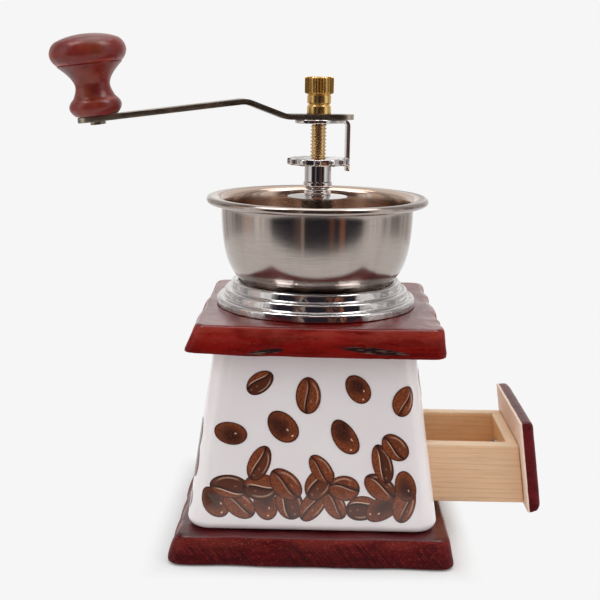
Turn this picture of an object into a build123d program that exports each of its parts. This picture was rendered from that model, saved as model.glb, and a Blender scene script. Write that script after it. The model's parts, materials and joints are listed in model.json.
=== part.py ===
"""Hand-cranked burr coffee grinder: wooden boards, a ceramic body, a steel hopper bowl,
a conical burr mill on a vertical spindle, a crank with a turned knob and a side drawer.

Millimetres, +Z up. The origin is the centre of the base board's underside, on the spindle's
axis. +X points at the drawer, -Y is the front face.
"""
import os
from math import atan, cos, degrees, hypot, pi, radians, sin, tan

from build123d import *

os.makedirs("parts", exist_ok=True)

# ---- Clearances -----------------------------------------------------------------------
RUNNING_GAP = 0.05        # radial play of a shaft in its bearing
SCREW_GAP = 0.1           # radial play of a screw or bolt in its hole
SLIDE_GAP = 0.3           # play between the drawer and what guides it
FACE_GAP = 0.1            # play under the turning adjusting wheel

# ---- Boards ---------------------------------------------------------------------------
BASE_SIDE = 111.5          # of the foot, before its edges are rounded
BASE_THICK = 12.0
TOP_SIDE = 100.0          # likewise
TOP_THICK = 11.5
BASE_LEAN = 13.0          # degrees that the base board's sides lean in
TOP_LEAN = 10.0           # degrees that the top board's sides lean in
BOARD_CORNER_R = 5.0
BOARD_CREST_R = 0.8       # rounding of a board's upper edges
BOARD_FOOT_R = 2.8        # rounding of a board's lower edges

# ---- Ceramic body ---------------------------------------------------------------------
BODY_HEIGHT = 68.5
BODY_FOOT_SIDE = 97.0
BODY_HEAD_SIDE = 77.5
BODY_WALL = 5.5
BODY_DECK = 5.0
BODY_CORNER_R = 9.0
BODY_FOOT_R = 3.0
DECK_HOLE_R = 26.0

# ---- Tie bolts through the body -------------------------------------------------------
TIE_X = 27.0
TIE_Y = 30.0
TIE_R = 2.0
TIE_HEAD_R = 3.6
TIE_HEAD_H = 3.0
TIE_WASHER_R = 4.5
TIE_WASHER_T = 1.0
TIE_SEAT = 5.0            # height of the washer's seat above the table
INSERT_R = 3.6
INSERT_LENGTH = 9.0

# ---- Stepped flange -------------------------------------------------------------------
FLANGE_R = 40.4
FLANGE_STEPS = 3
FLANGE_STEP_W = 3.0
FLANGE_STEP_H = 3.25
FLANGE_LIP = 2.2
FLANGE_WEB_T = 2.5
FLANGE_WEB_DROP = 3.75    # from the crown down to the web's upper face
FLANGE_ROUND = 1.5
FLANGE_ROOT_R = 0.5       # rounding at the foot of the upper steps
FLANGE_MOUTH_R = 0.6
FLANGE_HAUNCH = 5.0       # slope under the web, out to the lip
FLANGE_THROAT_PLAY = 1.0  # web's hole beyond the bowl's throat
WOOD_SCREW_R = 1.7
WOOD_SCREW_HEAD_R = 3.1
WOOD_SCREW_HEAD_H = 1.8
WOOD_SCREW_LENGTH = 13.0
WOOD_SCREW_CIRCLE = 28.5
WOOD_SCREWS = 3

# ---- Hopper bowl ----------------------------------------------------------------------
BOWL_HEIGHT = 37.3
BOWL_WALL = 1.0
BOWL_FLOOR_R = 25.0
BOWL_WALL_R = 38.5
BOWL_RIM_R = 44.4
BOWL_ROLL_R = 1.5
BOWL_LIP_RISE = 4.2
BOWL_BELLY = (0.62, 0.19)   # where the wall turns up, as shares of its reach and height
BOWL_FLANK = (0.90, 0.47)   # a point higher up the wall, in the same shares
BELLY_NORMAL = (0.75, 0.65)
FLANK_NORMAL = (0.97, 0.20)
THROAT_R = 15.5

# ---- Bridge, disc and collar that carry the spindle -----------------------------------
SHAFT_R = 3.2
SLEEVE_R = 6.15
SLEEVE_FOOT = 3.5         # sleeve's lower end above the bowl's floor
SLEEVE_LENGTH = 31.5
LEG_COUNT = 3
LEG_WIDTH = 6.0
LEG_THICK = 2.5
LEG_FOOT_R = 4.3
LEG_CIRCLE = 20.2
LEG_START_ANGLE = 60.0
LEG_BEND_R = 1.8
LEG_ROOT_RISE = 1.0       # leg's root above the sleeve's lower end
LEG_ROOT_HEIGHT = 7.0
LEG_SHOULDER = 1.0        # leg's upper corner beyond the sleeve
BRIDGE_SCREW_R = 1.4
BRIDGE_SCREW_HEAD_R = 2.6
BRIDGE_SCREW_HEAD_H = 1.8
BRIDGE_SCREW_LENGTH = 15.0
DISC_R = 12.0
DISC_THICK = 1.7
DISC_EDGE = 0.5
DISC_BULGE = 0.24         # how far the disc's faces swell between hub and edge
COLLAR_R = 5.35
COLLAR_RING_R = 5.75
COLLAR_NECK_R = 4.7
COLLAR_LENGTH = 11.9
COLLAR_FOOT_H = 1.5
COLLAR_NECK_H = 1.3
COLLAR_RING_H = 2.6
COLLAR_RING_ROUND = 0.6
COLLAR_EDGE_R = 0.3
COLLAR_NECK_ROUND = 0.2

# ---- Burrs ----------------------------------------------------------------------------
BURR_R = 23.5
BURR_BORE_PLAY = 0.8      # between the outer burr and the board's hole
BURR_HEIGHT = 25.5
BURR_GAP = 0.45           # grinding gap, as set
CONE_FOOT_R = 15.2
CONE_WAIST_R = 12.4
CONE_HEAD_R = 6.4
CONE_RISE = 1.0           # cone's foot above the outer burr's foot
CONE_FINE_H = 9.5         # height of the fine grinding band
CONE_HEIGHT = 22.0
FINE_TEETH = 24
FINE_DEPTH = 0.9
FINE_HALF_WIDTH = 0.8
COARSE_TEETH = 6
COARSE_DEPTH = 2.0
COARSE_HALF_WIDTH = 2.2
TOOTH_SLANT = 18.0        # degrees that the teeth lean
TOOTH_RUNOUT = 0.15       # cutter's overrun at each end, as a share of its stroke
BURR_MOUTH_PLAY = 0.5     # outer burr's mouth beyond the bowl's throat
BURR_SKIRT_H = 8.0
BURR_SKIRT_STEP = 3.0     # how much the skirt is narrower than the ring
NUT_ACROSS = 10.0
NUT_HEIGHT = 4.0
NUT_BEVEL = 0.6
NUT_CROWN = 0.2           # how far the nut's corners are turned down
BURR_WASHER_R = 6.2
BURR_WASHER_T = 1.0
SPINDLE_TAIL = 2.0        # spindle below the burr nut
SPRING_WIRE_R = 0.45
SPRING_R = 4.3
SPRING_TURNS = 3
SPRING_WASHER_R = 5.6
SPRING_WASHER_T = 0.8

# ---- Adjusting wheel and spindle's head -----------------------------------------------
WHEEL_R = 12.3
WHEEL_THICK = 2.6
WHEEL_NOTCHES = 12
NOTCH_DEPTH = 1.5
NOTCH_ROUND = 0.65
WHEEL_BEVEL = 0.35
NOTCH_GAP = 0.25          # play of the bracket's leg in its notch
THREAD_SHOWING = 13.6     # thread between the wheel and the bracket
SPINDLE_HEAD = 14.7       # spindle above the bracket's underside
SPINDLE_FLATS = 5.0       # across the two flats that drive the arm
SPINDLE_BEVEL = 0.5

# ---- Crank ----------------------------------------------------------------------------
REST_TURN = 14.0          # degrees that the crank is turned from -X at rest
CRANK_RADIUS = 86.0
ARM_THICK = 2.1
ARM_WIDTH = 10.0
ARM_TAIL = 14.2           # arm's end behind the spindle
ARM_TIP = 7.4             # arm's end beyond the knob's pin
ARM_RISE_START = 13.5
ARM_CREST = 29.5
ARM_CREST_RISE = 5.9
ARM_SLOPE = 7.0           # degrees that the long run falls towards the knob
ARM_BEND_R = 9.0
BRACKET_THICK = 1.5
BRACKET_HUB_R = 6.5
BRACKET_BEND_R = 2.4
BRACKET_TAIL = 3.0        # how far the hub reaches along the arm
BRACKET_TAPER_END = 2.0   # straight stretch before the leg's outer face
LEG_IN = 11.2             # bracket leg's inner face from the spindle's axis
TONGUE_WIDTH = 3.4
TONGUE_BELOW = 2.6        # leg's end below the wheel

# ---- Thumb nut ------------------------------------------------------------------------
THUMB_HEAD_R = 5.75
THUMB_HEAD_H = 7.0
THUMB_BARREL_R = 4.85
THUMB_BARREL_H = 7.5
THUMB_GROOVE = 0.5
THUMB_BORE_DEPTH = 12.5
THUMB_EDGE_R = 0.2
THUMB_CROWN_R = 0.9

# ---- Knob -----------------------------------------------------------------------------
KNOB_HEIGHT = 29.9
KNOB_R = 14.25
KNOB_NECK_R = 6.65
KNOB_BEAD_R = 9.8
KNOB_FOOT_R = 7.9
KNOB_GROOVE = 0.3
KNOB_BEAD_TOP = (0.83, 0.21)    # shares of the bead's radius and the knob's height
KNOB_SHOULDER = (0.875, 0.70)   # shares of the knob's radius and height
KNOB_CROWN = (0.66, 0.965)      # shares of the knob's radius and height
KNOB_NECK_AT = 0.375            # share of the knob's height
KNOB_WIDEST_AT = 0.845          # share of the knob's height
KNOB_LIFT = 0.3           # knob's foot above the arm
PIN_R = 2.2
PIN_HEAD_R = 3.6
PIN_HEAD_H = 2.0
RIVET_R = 2.9
RIVET_H = 1.2
BUSH_R = 4.4
BUSH_LENGTH = 10.0
KNOB_BORE_DEPTH = 15.0

# ---- Drawer ---------------------------------------------------------------------------
DRAWER_OUT = 37.0         # how far the drawer stands open at rest
DRAWER_WIDTH = 46.0
DRAWER_HEIGHT = 24.5
DRAWER_DEPTH = 72.0
DRAWER_SIDE_T = 4.5
DRAWER_FLOOR_T = 3.0
SILL = 3.0                # drawer opening's sill above the base board
RUNNER_FOOT_W = 7.0
RUNNER_GUIDE_W = 3.6
RUNNER_HEIGHT = 12.0
RUNNER_LENGTH = 74.0
OPENING_HEAD = 1.6        # opening's height above the drawer's sides
OPENING_R = 1.0
PANEL_THICK = 6.0
PANEL_WIDTH = 56.0
PANEL_HEIGHT = 38.0
PANEL_BELOW = 2.4         # panel's foot below the drawer's sides
PANEL_ROUND = 3.2
PANEL_SCREW_R = 1.4
PANEL_SCREW_HEAD_R = 2.8
PANEL_SCREW_HEAD_H = 1.4
PANEL_SCREW_BITE = 4.0
PANEL_SCREW_Y = 9.0
PANEL_SCREW_BEVEL = 0.5

# ---- Heights worked out from the sizes above ------------------------------------------
BODY_FOOT_Z = BASE_THICK
BODY_HEAD_Z = BODY_FOOT_Z + BODY_HEIGHT
TOP_Z = BODY_HEAD_Z + TOP_THICK
FLANGE_CROWN_Z = TOP_Z + FLANGE_STEPS * FLANGE_STEP_H
BOWL_Z = FLANGE_CROWN_Z - FLANGE_WEB_DROP
BOWL_FLOOR_Z = BOWL_Z + BOWL_WALL
WEB_Z = BOWL_Z - FLANGE_WEB_T
SLEEVE_Z = BOWL_FLOOR_Z + SLEEVE_FOOT
DISC_Z = SLEEVE_Z + SLEEVE_LENGTH
COLLAR_Z = DISC_Z + DISC_THICK
WHEEL_Z = COLLAR_Z + COLLAR_LENGTH + FACE_GAP
BRACKET_Z = WHEEL_Z + WHEEL_THICK + THREAD_SHOWING
ARM_Z = BRACKET_Z + BRACKET_THICK
THUMB_Z = ARM_Z + ARM_THICK
SPINDLE_TOP_Z = BRACKET_Z + SPINDLE_HEAD
BURR_Z = WEB_Z - BURR_HEIGHT
CONE_Z = BURR_Z + CONE_RISE
CONE_TOP_Z = CONE_Z + CONE_HEIGHT
SPINDLE_FOOT_Z = CONE_Z - BURR_WASHER_T - NUT_HEIGHT - SPINDLE_TAIL
SPRING_WASHER_Z = SLEEVE_Z - FACE_GAP - SPRING_WASHER_T
BODY_SLOPE = (BODY_FOOT_SIDE - BODY_HEAD_SIDE) / 2 / BODY_HEIGHT
BODY_LEAN = degrees(atan(BODY_SLOPE))
DRAWER_Z = BASE_THICK + SILL + SLIDE_GAP
BORE_R = SHAFT_R + RUNNING_GAP
NOTCH_WIDTH = TONGUE_WIDTH + 2 * NOTCH_GAP


# ---- Small helpers --------------------------------------------------------------------
def disc(radius, low, high, x=0.0, y=0.0):
    """Upright cylinder from one height to another."""
    return Pos(x, y, low) * Cylinder(radius, high - low, align=(Align.CENTER, Align.CENTER, Align.MIN))


def ring(outer, inner, low, high):
    """Upright tube from one height to another."""
    return disc(outer, low, high) - disc(inner, low, high)


def slab(x0, x1, y0, y1, z0, z1):
    """Box between two corners."""
    return Pos(x0, y0, z0) * Box(x1 - x0, y1 - y0, z1 - z0, align=(Align.MIN, Align.MIN, Align.MIN))


def turned(*lines):
    """Solid of revolution about Z from lines drawn as (radius, height)."""
    return revolve(make_face(Plane.XZ * Wire(Curve() + list(lines))), Axis.Z)


def on_circle(count, radius, start=0.0):
    """Points evenly spaced on a circle, as (x, y, angle)."""
    angles = [start + 360 * i / count for i in range(count)]
    return [(radius * cos(radians(a)), radius * sin(radians(a)), a) for a in angles]


def corners(x, y):
    """The four points at plus and minus x and y."""
    return [(sx * x, sy * y) for sx in (-1, 1) for sy in (-1, 1)]


def double_flat(radius, across, low, high):
    """Round bar with two flats that face +Y and -Y."""
    return disc(radius, low, high) & slab(-radius, radius, -across / 2, across / 2, low, high)


def body_half(z):
    """Half width of the ceramic body's outside at a height."""
    return BODY_FOOT_SIDE / 2 - (z - BODY_FOOT_Z) * BODY_SLOPE


# ---- Boards ---------------------------------------------------------------------------
def board(side, low, thick, lean):
    """Square board with rounded corners and edges, its sides leaning in towards the top."""
    blank = Pos(0, 0, low) * extrude(RectangleRounded(side, side, BOARD_CORNER_R), thick, taper=lean)
    crest = blank.faces().sort_by(Axis.Z)[-1].edges()
    blank = fillet(crest, min(BOARD_CREST_R, 0.45 * thick))
    foot = blank.faces().sort_by(Axis.Z)[0].edges()
    return fillet(foot, min(BOARD_FOOT_R, 0.45 * thick))


def base_plate():
    plate = board(BASE_SIDE, 0, BASE_THICK, BASE_LEAN)
    for x, y in corners(TIE_X, TIE_Y):
        plate -= disc(TIE_R + SCREW_GAP, 0, BASE_THICK, x, y)
        plate -= disc(TIE_WASHER_R + SCREW_GAP, 0, TIE_SEAT, x, y)
    return plate


def top_plate():
    plate = board(TOP_SIDE, BODY_HEAD_Z, TOP_THICK, TOP_LEAN)
    plate -= disc(BURR_R + BURR_BORE_PLAY, BODY_HEAD_Z, TOP_Z)
    for x, y in corners(TIE_X, TIE_Y):
        plate -= disc(INSERT_R, BODY_HEAD_Z, BODY_HEAD_Z + INSERT_LENGTH, x, y)
    for x, y, _ in on_circle(WOOD_SCREWS, WOOD_SCREW_CIRCLE):
        plate -= disc(WOOD_SCREW_R, BOWL_Z - WOOD_SCREW_LENGTH, TOP_Z, x, y)
    return plate


# ---- Ceramic body ---------------------------------------------------------------------
def tapered_block(inset, low, high, corner):
    """Four-sided block whose walls lean as the body's do, set in by a wall's thickness."""
    sections = Sketch()
    for z in (low, high):
        side = 2 * (body_half(z) - inset)
        sections += Pos(0, 0, z) * RectangleRounded(side, side, corner)
    return loft(sections)


def ceramic_body():
    shell = tapered_block(0, BODY_FOOT_Z, BODY_HEAD_Z, BODY_CORNER_R)
    foot = shell.faces().sort_by(Axis.Z)[0]
    shell = fillet(foot.edges(), BODY_FOOT_R)
    inner_corner = max(BODY_CORNER_R - BODY_WALL, 1)
    shell -= tapered_block(BODY_WALL, BODY_FOOT_Z, BODY_HEAD_Z - BODY_DECK, inner_corner)
    shell -= disc(DECK_HOLE_R, BODY_HEAD_Z - BODY_DECK, BODY_HEAD_Z)
    for x, y in corners(TIE_X, TIE_Y):
        shell -= disc(TIE_R + 2 * SCREW_GAP, BODY_FOOT_Z, BODY_HEAD_Z, x, y)
    half = DRAWER_WIDTH / 2 + 2 * SLIDE_GAP
    sill = BODY_FOOT_Z + SILL
    head = DRAWER_Z + DRAWER_HEIGHT + OPENING_HEAD
    mouth = slab(0, BODY_FOOT_SIDE, -half, half, sill, head)
    return shell - fillet(mouth.edges().filter_by(Axis.X), OPENING_R)


# ---- Fasteners that hold the boards to the body ---------------------------------------
def tie_bolts():
    bolts = []
    for x, y in corners(TIE_X, TIE_Y):
        head_top = TIE_SEAT - TIE_WASHER_T
        bolt = disc(TIE_R, head_top, BODY_HEAD_Z + INSERT_LENGTH, x, y)
        head = disc(TIE_HEAD_R, head_top - TIE_HEAD_H, head_top, x, y)
        slot = Pos(x, y, head_top - TIE_HEAD_H) * Box(2 * TIE_HEAD_R, TIE_HEAD_R / 4, TIE_HEAD_H / 2)
        bolts.append(bolt + head - slot)
    return Compound(bolts)


def tie_washers():
    blank = ring(TIE_WASHER_R, TIE_R + SCREW_GAP, TIE_SEAT - TIE_WASHER_T, TIE_SEAT)
    return Compound([Pos(x, y, 0) * blank for x, y in corners(TIE_X, TIE_Y)])


def tie_inserts():
    blank = ring(INSERT_R, TIE_R, BODY_HEAD_Z, BODY_HEAD_Z + INSERT_LENGTH)
    return Compound([Pos(x, y, 0) * blank for x, y in corners(TIE_X, TIE_Y)])


def drawer_runners():
    """Two wooden strips of L section, on the base board, that the drawer slides on."""
    inner = DRAWER_WIDTH / 2 + SLIDE_GAP
    outer = inner + RUNNER_GUIDE_W
    half = RUNNER_LENGTH / 2
    foot = slab(-half, half, inner - RUNNER_FOOT_W, outer, BASE_THICK, BASE_THICK + SILL)
    guide = slab(-half, half, inner, outer, BASE_THICK, BASE_THICK + RUNNER_HEIGHT)
    runner = foot + guide
    for x, y in corners(TIE_X, TIE_Y):
        runner -= disc(TIE_R + SCREW_GAP, BASE_THICK, BASE_THICK + RUNNER_HEIGHT, x, y)
    return Compound([runner, mirror(runner, Plane.XZ)])


# ---- Stepped flange -------------------------------------------------------------------
def stepped_flange():
    """Pressed ring with rounded steps outside and a web inside that the bowl stands on."""
    points = []
    radii = []
    for i in range(FLANGE_STEPS):
        radius = FLANGE_R - i * FLANGE_STEP_W
        points += [(radius, TOP_Z + i * FLANGE_STEP_H), (radius, TOP_Z + (i + 1) * FLANGE_STEP_H)]
        radii += [FLANGE_ROOT_R if i else 0, FLANGE_ROUND]
    mouth = FLANGE_R - (FLANGE_STEPS - 1) * FLANGE_STEP_W - FLANGE_LIP
    throat = THROAT_R + FLANGE_THROAT_PLAY
    lip = FLANGE_R - FLANGE_LIP
    points += [(mouth, FLANGE_CROWN_Z), (mouth, BOWL_Z), (throat, BOWL_Z), (throat, WEB_Z)]
    radii += [FLANGE_MOUTH_R, 0, 0, 0]
    points += [(lip - FLANGE_HAUNCH, WEB_Z), (lip, TOP_Z)]
    radii += [0, 0]
    body = turned(FilletPolyline(*points, radius=radii, close=True))
    for x, y, _ in on_circle(LEG_COUNT, LEG_CIRCLE, LEG_START_ANGLE):
        body -= disc(BRIDGE_SCREW_R + SCREW_GAP, WEB_Z, BOWL_Z, x, y)
    return body - wood_screws(SCREW_GAP)


def wood_screws(gap=0.0):
    """Countersunk screws through the flange's web, or the holes that clear them."""
    head = Pos(0, 0, BOWL_Z - WOOD_SCREW_HEAD_H) * Cone(
        WOOD_SCREW_R + gap, WOOD_SCREW_HEAD_R + gap, WOOD_SCREW_HEAD_H,
        align=(Align.CENTER, Align.CENTER, Align.MIN))
    shank = disc(WOOD_SCREW_R + gap, BOWL_Z - WOOD_SCREW_LENGTH, BOWL_Z)
    blank = head + shank
    return Compound([Pos(x, y, 0) * blank for x, y, _ in on_circle(WOOD_SCREWS, WOOD_SCREW_CIRCLE)])


# ---- Hopper bowl ----------------------------------------------------------------------
def bowl_curve(inset):
    """The bowl's wall from the edge of its floor up to the lip, as a smooth curve."""
    top = BOWL_HEIGHT - BOWL_LIP_RISE
    reach = BOWL_WALL_R - BOWL_FLOOR_R
    points = [(BOWL_FLOOR_R, BOWL_Z + inset)]
    for share, normal in ((BOWL_BELLY, BELLY_NORMAL), (BOWL_FLANK, FLANK_NORMAL)):
        radius = BOWL_FLOOR_R + share[0] * reach - normal[0] * inset
        points.append((radius, BOWL_Z + share[1] * top + normal[1] * inset))
    points.append((BOWL_WALL_R - inset, BOWL_Z + top))
    return Spline(*points, tangents=((1, 0), (0, 1)))


def hopper_bowl():
    """Spun bowl: a flat floor, a swelling wall, a flared lip and a rolled rim."""
    wall_top = BOWL_Z + BOWL_HEIGHT - BOWL_LIP_RISE
    rim_z = BOWL_Z + BOWL_HEIGHT
    roll_r = BOWL_RIM_R - BOWL_ROLL_R
    outside = bowl_curve(0)
    inside = bowl_curve(BOWL_WALL)
    mouth = (roll_r, rim_z)
    under = (roll_r, rim_z - 2 * BOWL_ROLL_R)
    tuck = (roll_r - BOWL_ROLL_R, rim_z - BOWL_WALL - BOWL_ROLL_R / 2)
    lines = [
        Line((THROAT_R, BOWL_Z), outside @ 0),
        outside,
        Spline(outside @ 1, tuck, tangents=((0, 1), (1, 1))),
        Line(tuck, under),
        ThreePointArc(under, (BOWL_RIM_R, rim_z - BOWL_ROLL_R), mouth),
        Spline(inside @ 1, mouth, tangents=((0, 1), (1, 0))),
        inside,
        Line(inside @ 0, (THROAT_R, BOWL_FLOOR_Z)),
        Line((THROAT_R, BOWL_FLOOR_Z), (THROAT_R, BOWL_Z)),
    ]
    bowl = turned(*lines)
    for x, y, _ in on_circle(LEG_COUNT, LEG_CIRCLE, LEG_START_ANGLE):
        bowl -= disc(BRIDGE_SCREW_R + SCREW_GAP, BOWL_Z, BOWL_FLOOR_Z, x, y)
    return bowl


# ---- Bridge, disc and collar ----------------------------------------------------------
def bearing_bridge():
    """Three-legged bridge in the bowl, with the long sleeve that carries the spindle."""
    bridge = disc(SLEEVE_R, SLEEVE_Z, DISC_Z)
    foot_top = BOWL_FLOOR_Z + LEG_THICK
    knee = LEG_CIRCLE - LEG_FOOT_R / 2
    root = (BORE_R + SLEEVE_R) / 2
    root_low = SLEEVE_Z + LEG_ROOT_RISE
    root_high = root_low + LEG_ROOT_HEIGHT
    outline = FilletPolyline(
        (root, root_low), (root, root_high), (SLEEVE_R + LEG_SHOULDER, root_high),
        (knee, foot_top), (LEG_CIRCLE, foot_top), (LEG_CIRCLE, BOWL_FLOOR_Z),
        (knee - LEG_SHOULDER, BOWL_FLOOR_Z), (SLEEVE_R + 2 * LEG_SHOULDER, root_low),
        radius=[0, 0, LEG_BEND_R, LEG_BEND_R, 0, 0, LEG_BEND_R, 0], close=True)
    leg = extrude(make_face(Plane.XZ * outline), LEG_WIDTH / 2, both=True)
    leg += disc(LEG_FOOT_R, BOWL_FLOOR_Z, foot_top, LEG_CIRCLE)
    leg -= disc(BRIDGE_SCREW_R + SCREW_GAP, BOWL_FLOOR_Z, foot_top, LEG_CIRCLE)
    leg -= disc(BRIDGE_SCREW_HEAD_R + SCREW_GAP, foot_top, foot_top + 2 * LEG_THICK, LEG_CIRCLE)
    for _, _, angle in on_circle(LEG_COUNT, LEG_CIRCLE, LEG_START_ANGLE):
        bridge += Rot(0, 0, angle) * leg
    return bridge - disc(BORE_R, SLEEVE_Z, DISC_Z)


def bridge_screws():
    """Three screws that clamp the bridge, the bowl and the flange to the outer burr."""
    seat = BOWL_FLOOR_Z + LEG_THICK
    screws = []
    for x, y, angle in on_circle(LEG_COUNT, LEG_CIRCLE, LEG_START_ANGLE):
        shank = disc(BRIDGE_SCREW_R, seat - BRIDGE_SCREW_LENGTH, seat, x, y)
        head = disc(BRIDGE_SCREW_HEAD_R, seat, seat + BRIDGE_SCREW_HEAD_H, x, y)
        slot = Pos(x, y, seat + BRIDGE_SCREW_HEAD_H) * Rot(0, 0, angle) * Box(
            2 * BRIDGE_SCREW_HEAD_R, BRIDGE_SCREW_HEAD_R / 4, BRIDGE_SCREW_HEAD_H)
        screws.append(shank + head - slot)
    return Compound(screws)


def bowl_disc():
    """Lens-shaped disc on the sleeve's end that keeps beans off the bearing."""
    edge_low = DISC_Z + (DISC_THICK - DISC_EDGE) / 2
    edge_high = edge_low + DISC_EDGE
    middle = (SLEEVE_R + DISC_R) / 2
    lines = [
        Line((BORE_R, DISC_Z), (SLEEVE_R, DISC_Z)),
        Spline((SLEEVE_R, DISC_Z), (middle, edge_low - DISC_BULGE), (DISC_R, edge_low)),
        Line((DISC_R, edge_low), (DISC_R, edge_high)),
        Spline((DISC_R, edge_high), (middle, edge_high + DISC_BULGE), (COLLAR_RING_R, DISC_Z + DISC_THICK)),
        Line((COLLAR_RING_R, DISC_Z + DISC_THICK), (BORE_R, DISC_Z + DISC_THICK)),
        Line((BORE_R, DISC_Z + DISC_THICK), (BORE_R, DISC_Z)),
    ]
    return turned(*lines)


def bearing_collar():
    """Turned bush on top of the disc: two rings, a neck and the barrel under the wheel."""
    neck_z = COLLAR_Z + COLLAR_FOOT_H
    ring_z = neck_z + COLLAR_NECK_H
    barrel_z = ring_z + COLLAR_RING_H
    top = COLLAR_Z + COLLAR_LENGTH
    foot = [COLLAR_EDGE_R, COLLAR_EDGE_R, COLLAR_NECK_ROUND]
    barrel = [COLLAR_NECK_ROUND, COLLAR_RING_ROUND, COLLAR_EDGE_R, 0, COLLAR_EDGE_R]
    outline = FilletPolyline(
        (BORE_R, COLLAR_Z), (COLLAR_R, COLLAR_Z), (COLLAR_R, neck_z), (COLLAR_NECK_R, neck_z),
        (COLLAR_NECK_R, ring_z), (COLLAR_RING_R, ring_z), (COLLAR_RING_R, barrel_z),
        (COLLAR_R, barrel_z), (COLLAR_R, top), (BORE_R, top),
        radius=[0] + foot + barrel + [0], close=True)
    return turned(outline)


# ---- Burrs ----------------------------------------------------------------------------
def groove(foot_r, foot_z, head_r, head_z, depth, width):
    """V-shaped cutter that runs up a cone's flank in the XZ plane, leaning to one side."""
    length = hypot(head_r - foot_r, head_z - foot_z)
    tilt = degrees(atan((foot_r - head_r) / (head_z - foot_z)))
    section = Polygon((-depth, 0), (depth, -width), (depth, width), align=None)
    runout = TOOTH_RUNOUT * length
    cutter = Pos(0, 0, -runout) * extrude(section, length + 2 * runout)
    return Pos(foot_r, 0, foot_z) * Rot(0, -tilt, 0) * Rot(TOOTH_SLANT, 0, 0) * cutter


def inner_burr():
    """Toothed cone that turns with the spindle: coarse flutes above, fine teeth below."""
    waist_z = CONE_Z + CONE_FINE_H
    outline = Polyline(
        (0, CONE_Z), (CONE_FOOT_R, CONE_Z), (CONE_WAIST_R, waist_z), (CONE_HEAD_R, CONE_TOP_Z),
        (0, CONE_TOP_Z), (0, CONE_Z))
    cone = turned(outline)
    fine = groove(CONE_FOOT_R, CONE_Z, CONE_WAIST_R, waist_z, FINE_DEPTH, FINE_HALF_WIDTH)
    coarse = groove(CONE_WAIST_R, waist_z, CONE_HEAD_R, CONE_TOP_Z, COARSE_DEPTH, COARSE_HALF_WIDTH)
    cone -= [Rot(0, 0, 360 * i / FINE_TEETH) * fine for i in range(FINE_TEETH)]
    cone -= [Rot(0, 0, 360 * i / COARSE_TEETH) * coarse for i in range(COARSE_TEETH)]
    across = SPINDLE_FLATS + 2 * RUNNING_GAP
    return cone - double_flat(BORE_R, across, CONE_Z, CONE_TOP_Z)


def outer_burr():
    """Fixed ring that hangs under the bowl, with a toothed funnel for its bore."""
    top = BURR_Z + BURR_HEIGHT
    slope = (CONE_FOOT_R - CONE_WAIST_R) / CONE_FINE_H
    foot_r = CONE_FOOT_R + BURR_GAP + slope * CONE_RISE
    waist_r = CONE_WAIST_R + BURR_GAP
    waist_z = CONE_Z + CONE_FINE_H
    mouth_r = THROAT_R + BURR_MOUTH_PLAY
    skirt_r = BURR_R - BURR_SKIRT_STEP
    skirt_z = BURR_Z + BURR_SKIRT_H
    outline = Polyline(
        (foot_r, BURR_Z), (skirt_r, BURR_Z), (skirt_r, skirt_z), (BURR_R, skirt_z + BURR_SKIRT_STEP),
        (BURR_R, top), (mouth_r, top), (waist_r, waist_z), (foot_r, BURR_Z))
    body = turned(outline)
    fine = groove(foot_r, BURR_Z, waist_r, waist_z, -FINE_DEPTH, FINE_HALF_WIDTH)
    coarse = groove(waist_r, waist_z, mouth_r, top, -COARSE_DEPTH, COARSE_HALF_WIDTH)
    body -= [Rot(0, 0, 360 * i / FINE_TEETH) * fine for i in range(FINE_TEETH)]
    body -= [Rot(0, 0, 360 * i / COARSE_TEETH) * coarse for i in range(COARSE_TEETH)]
    bottom = BOWL_FLOOR_Z + LEG_THICK - BRIDGE_SCREW_LENGTH
    for x, y, _ in on_circle(LEG_COUNT, LEG_CIRCLE, LEG_START_ANGLE):
        body -= disc(BRIDGE_SCREW_R, bottom, top, x, y)
    return body


def burr_washer():
    return ring(BURR_WASHER_R, BORE_R, CONE_Z - BURR_WASHER_T, CONE_Z)


def burr_nut():
    """Hexagon nut that holds the cone on the spindle."""
    low = CONE_Z - BURR_WASHER_T - NUT_HEIGHT
    hexagon = RegularPolygon(NUT_ACROSS / 2, 6, major_radius=False)
    blank = Pos(0, 0, low) * extrude(hexagon, NUT_HEIGHT)
    dome = disc(NUT_ACROSS / 2 / cos(pi / 6) - NUT_CROWN, low, low + NUT_HEIGHT)
    return (blank & chamfer(dome.edges(), NUT_BEVEL)) - disc(SHAFT_R, low, low + NUT_HEIGHT)


def feed_spring():
    """Coil spring that pushes the cone down, away from the sleeve."""
    low = CONE_TOP_Z + SPRING_WIRE_R + RUNNING_GAP
    high = SPRING_WASHER_Z - SPRING_WIRE_R - RUNNING_GAP
    path = Pos(0, 0, low) * Helix((high - low) / SPRING_TURNS, high - low, SPRING_R)
    wire = Plane(path @ 0, z_dir=path % 0) * Circle(SPRING_WIRE_R)
    return sweep(wire, path)


def spring_washer():
    return ring(SPRING_WASHER_R, BORE_R, SPRING_WASHER_Z, SPRING_WASHER_Z + SPRING_WASHER_T)


# ---- Spindle and adjusting wheel ------------------------------------------------------
def spindle():
    """Round bar with two flats at its head for the arm and two at its foot for the cone."""
    bar = disc(SHAFT_R, SPINDLE_FOOT_Z, SPINDLE_TOP_Z)
    ends = bar.edges().filter_by(GeomType.CIRCLE)
    bar = chamfer(ends, SPINDLE_BEVEL)
    blank = 2 * SHAFT_R
    for low, high in ((CONE_Z, CONE_TOP_Z), (BRACKET_Z, SPINDLE_TOP_Z)):
        for side in (-1, 1):
            near = side * SPINDLE_FLATS / 2
            bar -= slab(-blank, blank, min(near, side * blank), max(near, side * blank), low, high)
    return bar


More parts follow.
